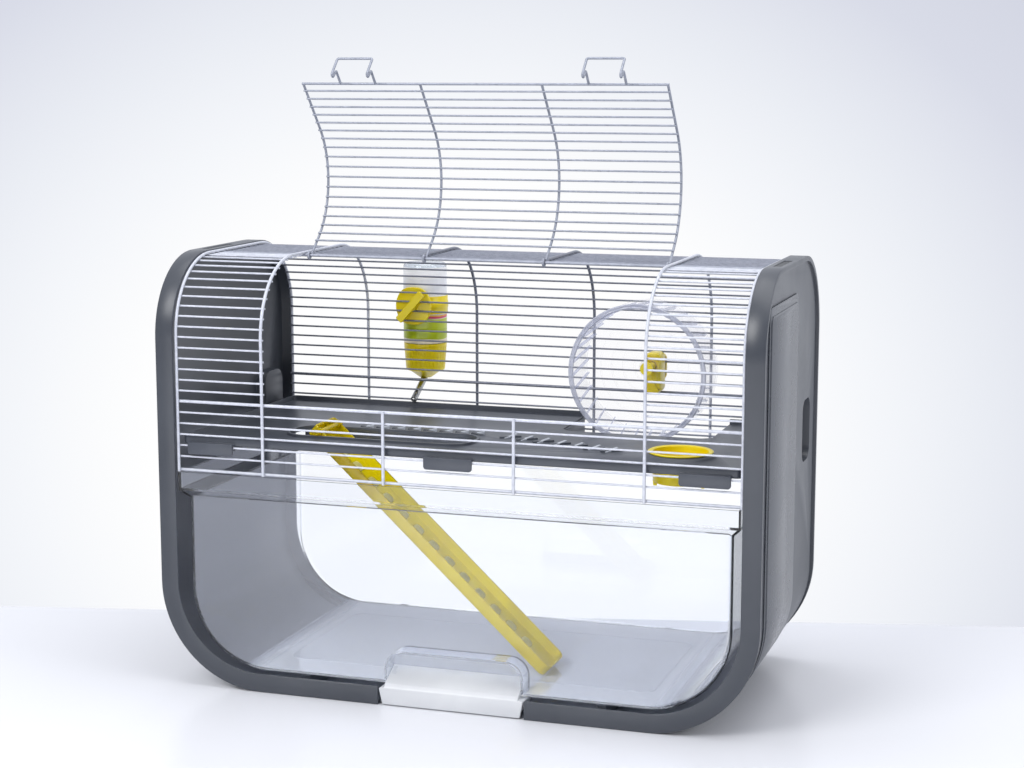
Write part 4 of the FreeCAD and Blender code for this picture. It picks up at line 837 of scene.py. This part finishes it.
def makeWorld():
    world = bpy.data.worlds.new("studioWorld")
    bpy.context.scene.world = world
    world.use_nodes = True
    tree = world.node_tree
    tree.nodes.clear()
    place = addNode(tree, "TexCoord").outputs["Generated"]
    squares = []
    for axis, shift in zip(("right", "up"), studio["glowShift"]):
        across = addNode(tree, "VectorMath", {0: place, 1: studio[axis]},
                         operation="DOT_PRODUCT").outputs["Value"]
        moved = addNode(tree, "Math", {0: across, 1: shift}, operation="SUBTRACT").outputs[0]
        squares.append(addNode(tree, "Math", {0: moved, 1: moved},
                               operation="MULTIPLY").outputs[0])
    share = addNode(tree, "Math", {0: squares[0], 1: squares[1]}, operation="ADD").outputs[0]
    half = addNode(tree, "Math", {0: share, 1: 0.5}, operation="MULTIPLY").outputs[0]
    seen = rampStops(addNode(tree, "ValToRGB", {"Fac": half}), studio["seen"])
    path = addNode(tree, "LightPath")
    lift = addNode(tree, "MapRange", {"Value": path.outputs["Is Transmission Ray"],
                                      "To Min": 1.0, "To Max": studio["seenThrough"]})
    shown = addNode(tree, "Background", {"Color": seen, "Strength": lift.outputs["Result"]})
    along = addNode(tree, "SeparateXYZ", {"Vector": place})
    behind = addNode(tree, "MapRange", {"Value": along.outputs["Y"], "From Min": -0.7,
                                        "From Max": 0.5, "To Min": studio["glowFront"],
                                        "To Max": studio["glowBack"]}).outputs["Result"]
    above = addNode(tree, "MapRange", {"Value": along.outputs["Z"], "From Min": 0.2,
                                       "From Max": 0.9, "To Min": 0.0,
                                       "To Max": studio["glowTop"]}).outputs["Result"]
    glowShare = addNode(tree, "Math", {0: behind, 1: above}, operation="MAXIMUM").outputs[0]
    glow = addNode(tree, "Background", {"Color": hexColour(studio["glow"]),
                                        "Strength": glowShare})
    direct = addNode(tree, "Math", {0: path.outputs["Is Camera Ray"],
                                    1: path.outputs["Is Transmission Ray"]},
                     operation="MAXIMUM").outputs[0]
    mix = addNode(tree, "MixShader", {"Fac": direct, 1: glow.outputs[0], 2: shown.outputs[0]})
    addNode(tree, "OutputWorld", {"Surface": mix.outputs[0]})


def softLight(name, place, target, size, power):
    data = bpy.data.lights.new(name, "AREA")
    data.shape = "RECTANGLE"
    data.size, data.size_y = size
    data.energy = power
    lamp = bpy.data.objects.new(name, data)
    lamp.location = place
    lamp.rotation_euler = (Vector(target) - Vector(place)).to_track_quat("-Z", "Y").to_euler()
    lamp.visible_camera = False
    bpy.context.scene.collection.objects.link(lamp)


makeTable()
makeWorld()
lamps = {  # place and target in metres, width and height in metres, power in watts
    "keyFront": ((-0.9, -2.0, 2.0), (0, 0, 0.25), (1.2, 1.2), 38),
    "sideRight": ((2.3, -0.5, 1.1), (0.25, 0, 0.2), (1.2, 1.6), 15),
    "topSoft": ((0.1, 0.15, 2.3), (0, 0, 0.2), (2.2, 1.4), 19),
    "lowCard": ((0.0, -0.95, 0.16), (0, -0.14, 0.02), (1.2, 0.25), 1.6),
}
for lampName, (place, target, size, power) in lamps.items():
    softLight(lampName, place, target, size, power)
print("stage and lights ready")

bpy.context.view_layer.update()
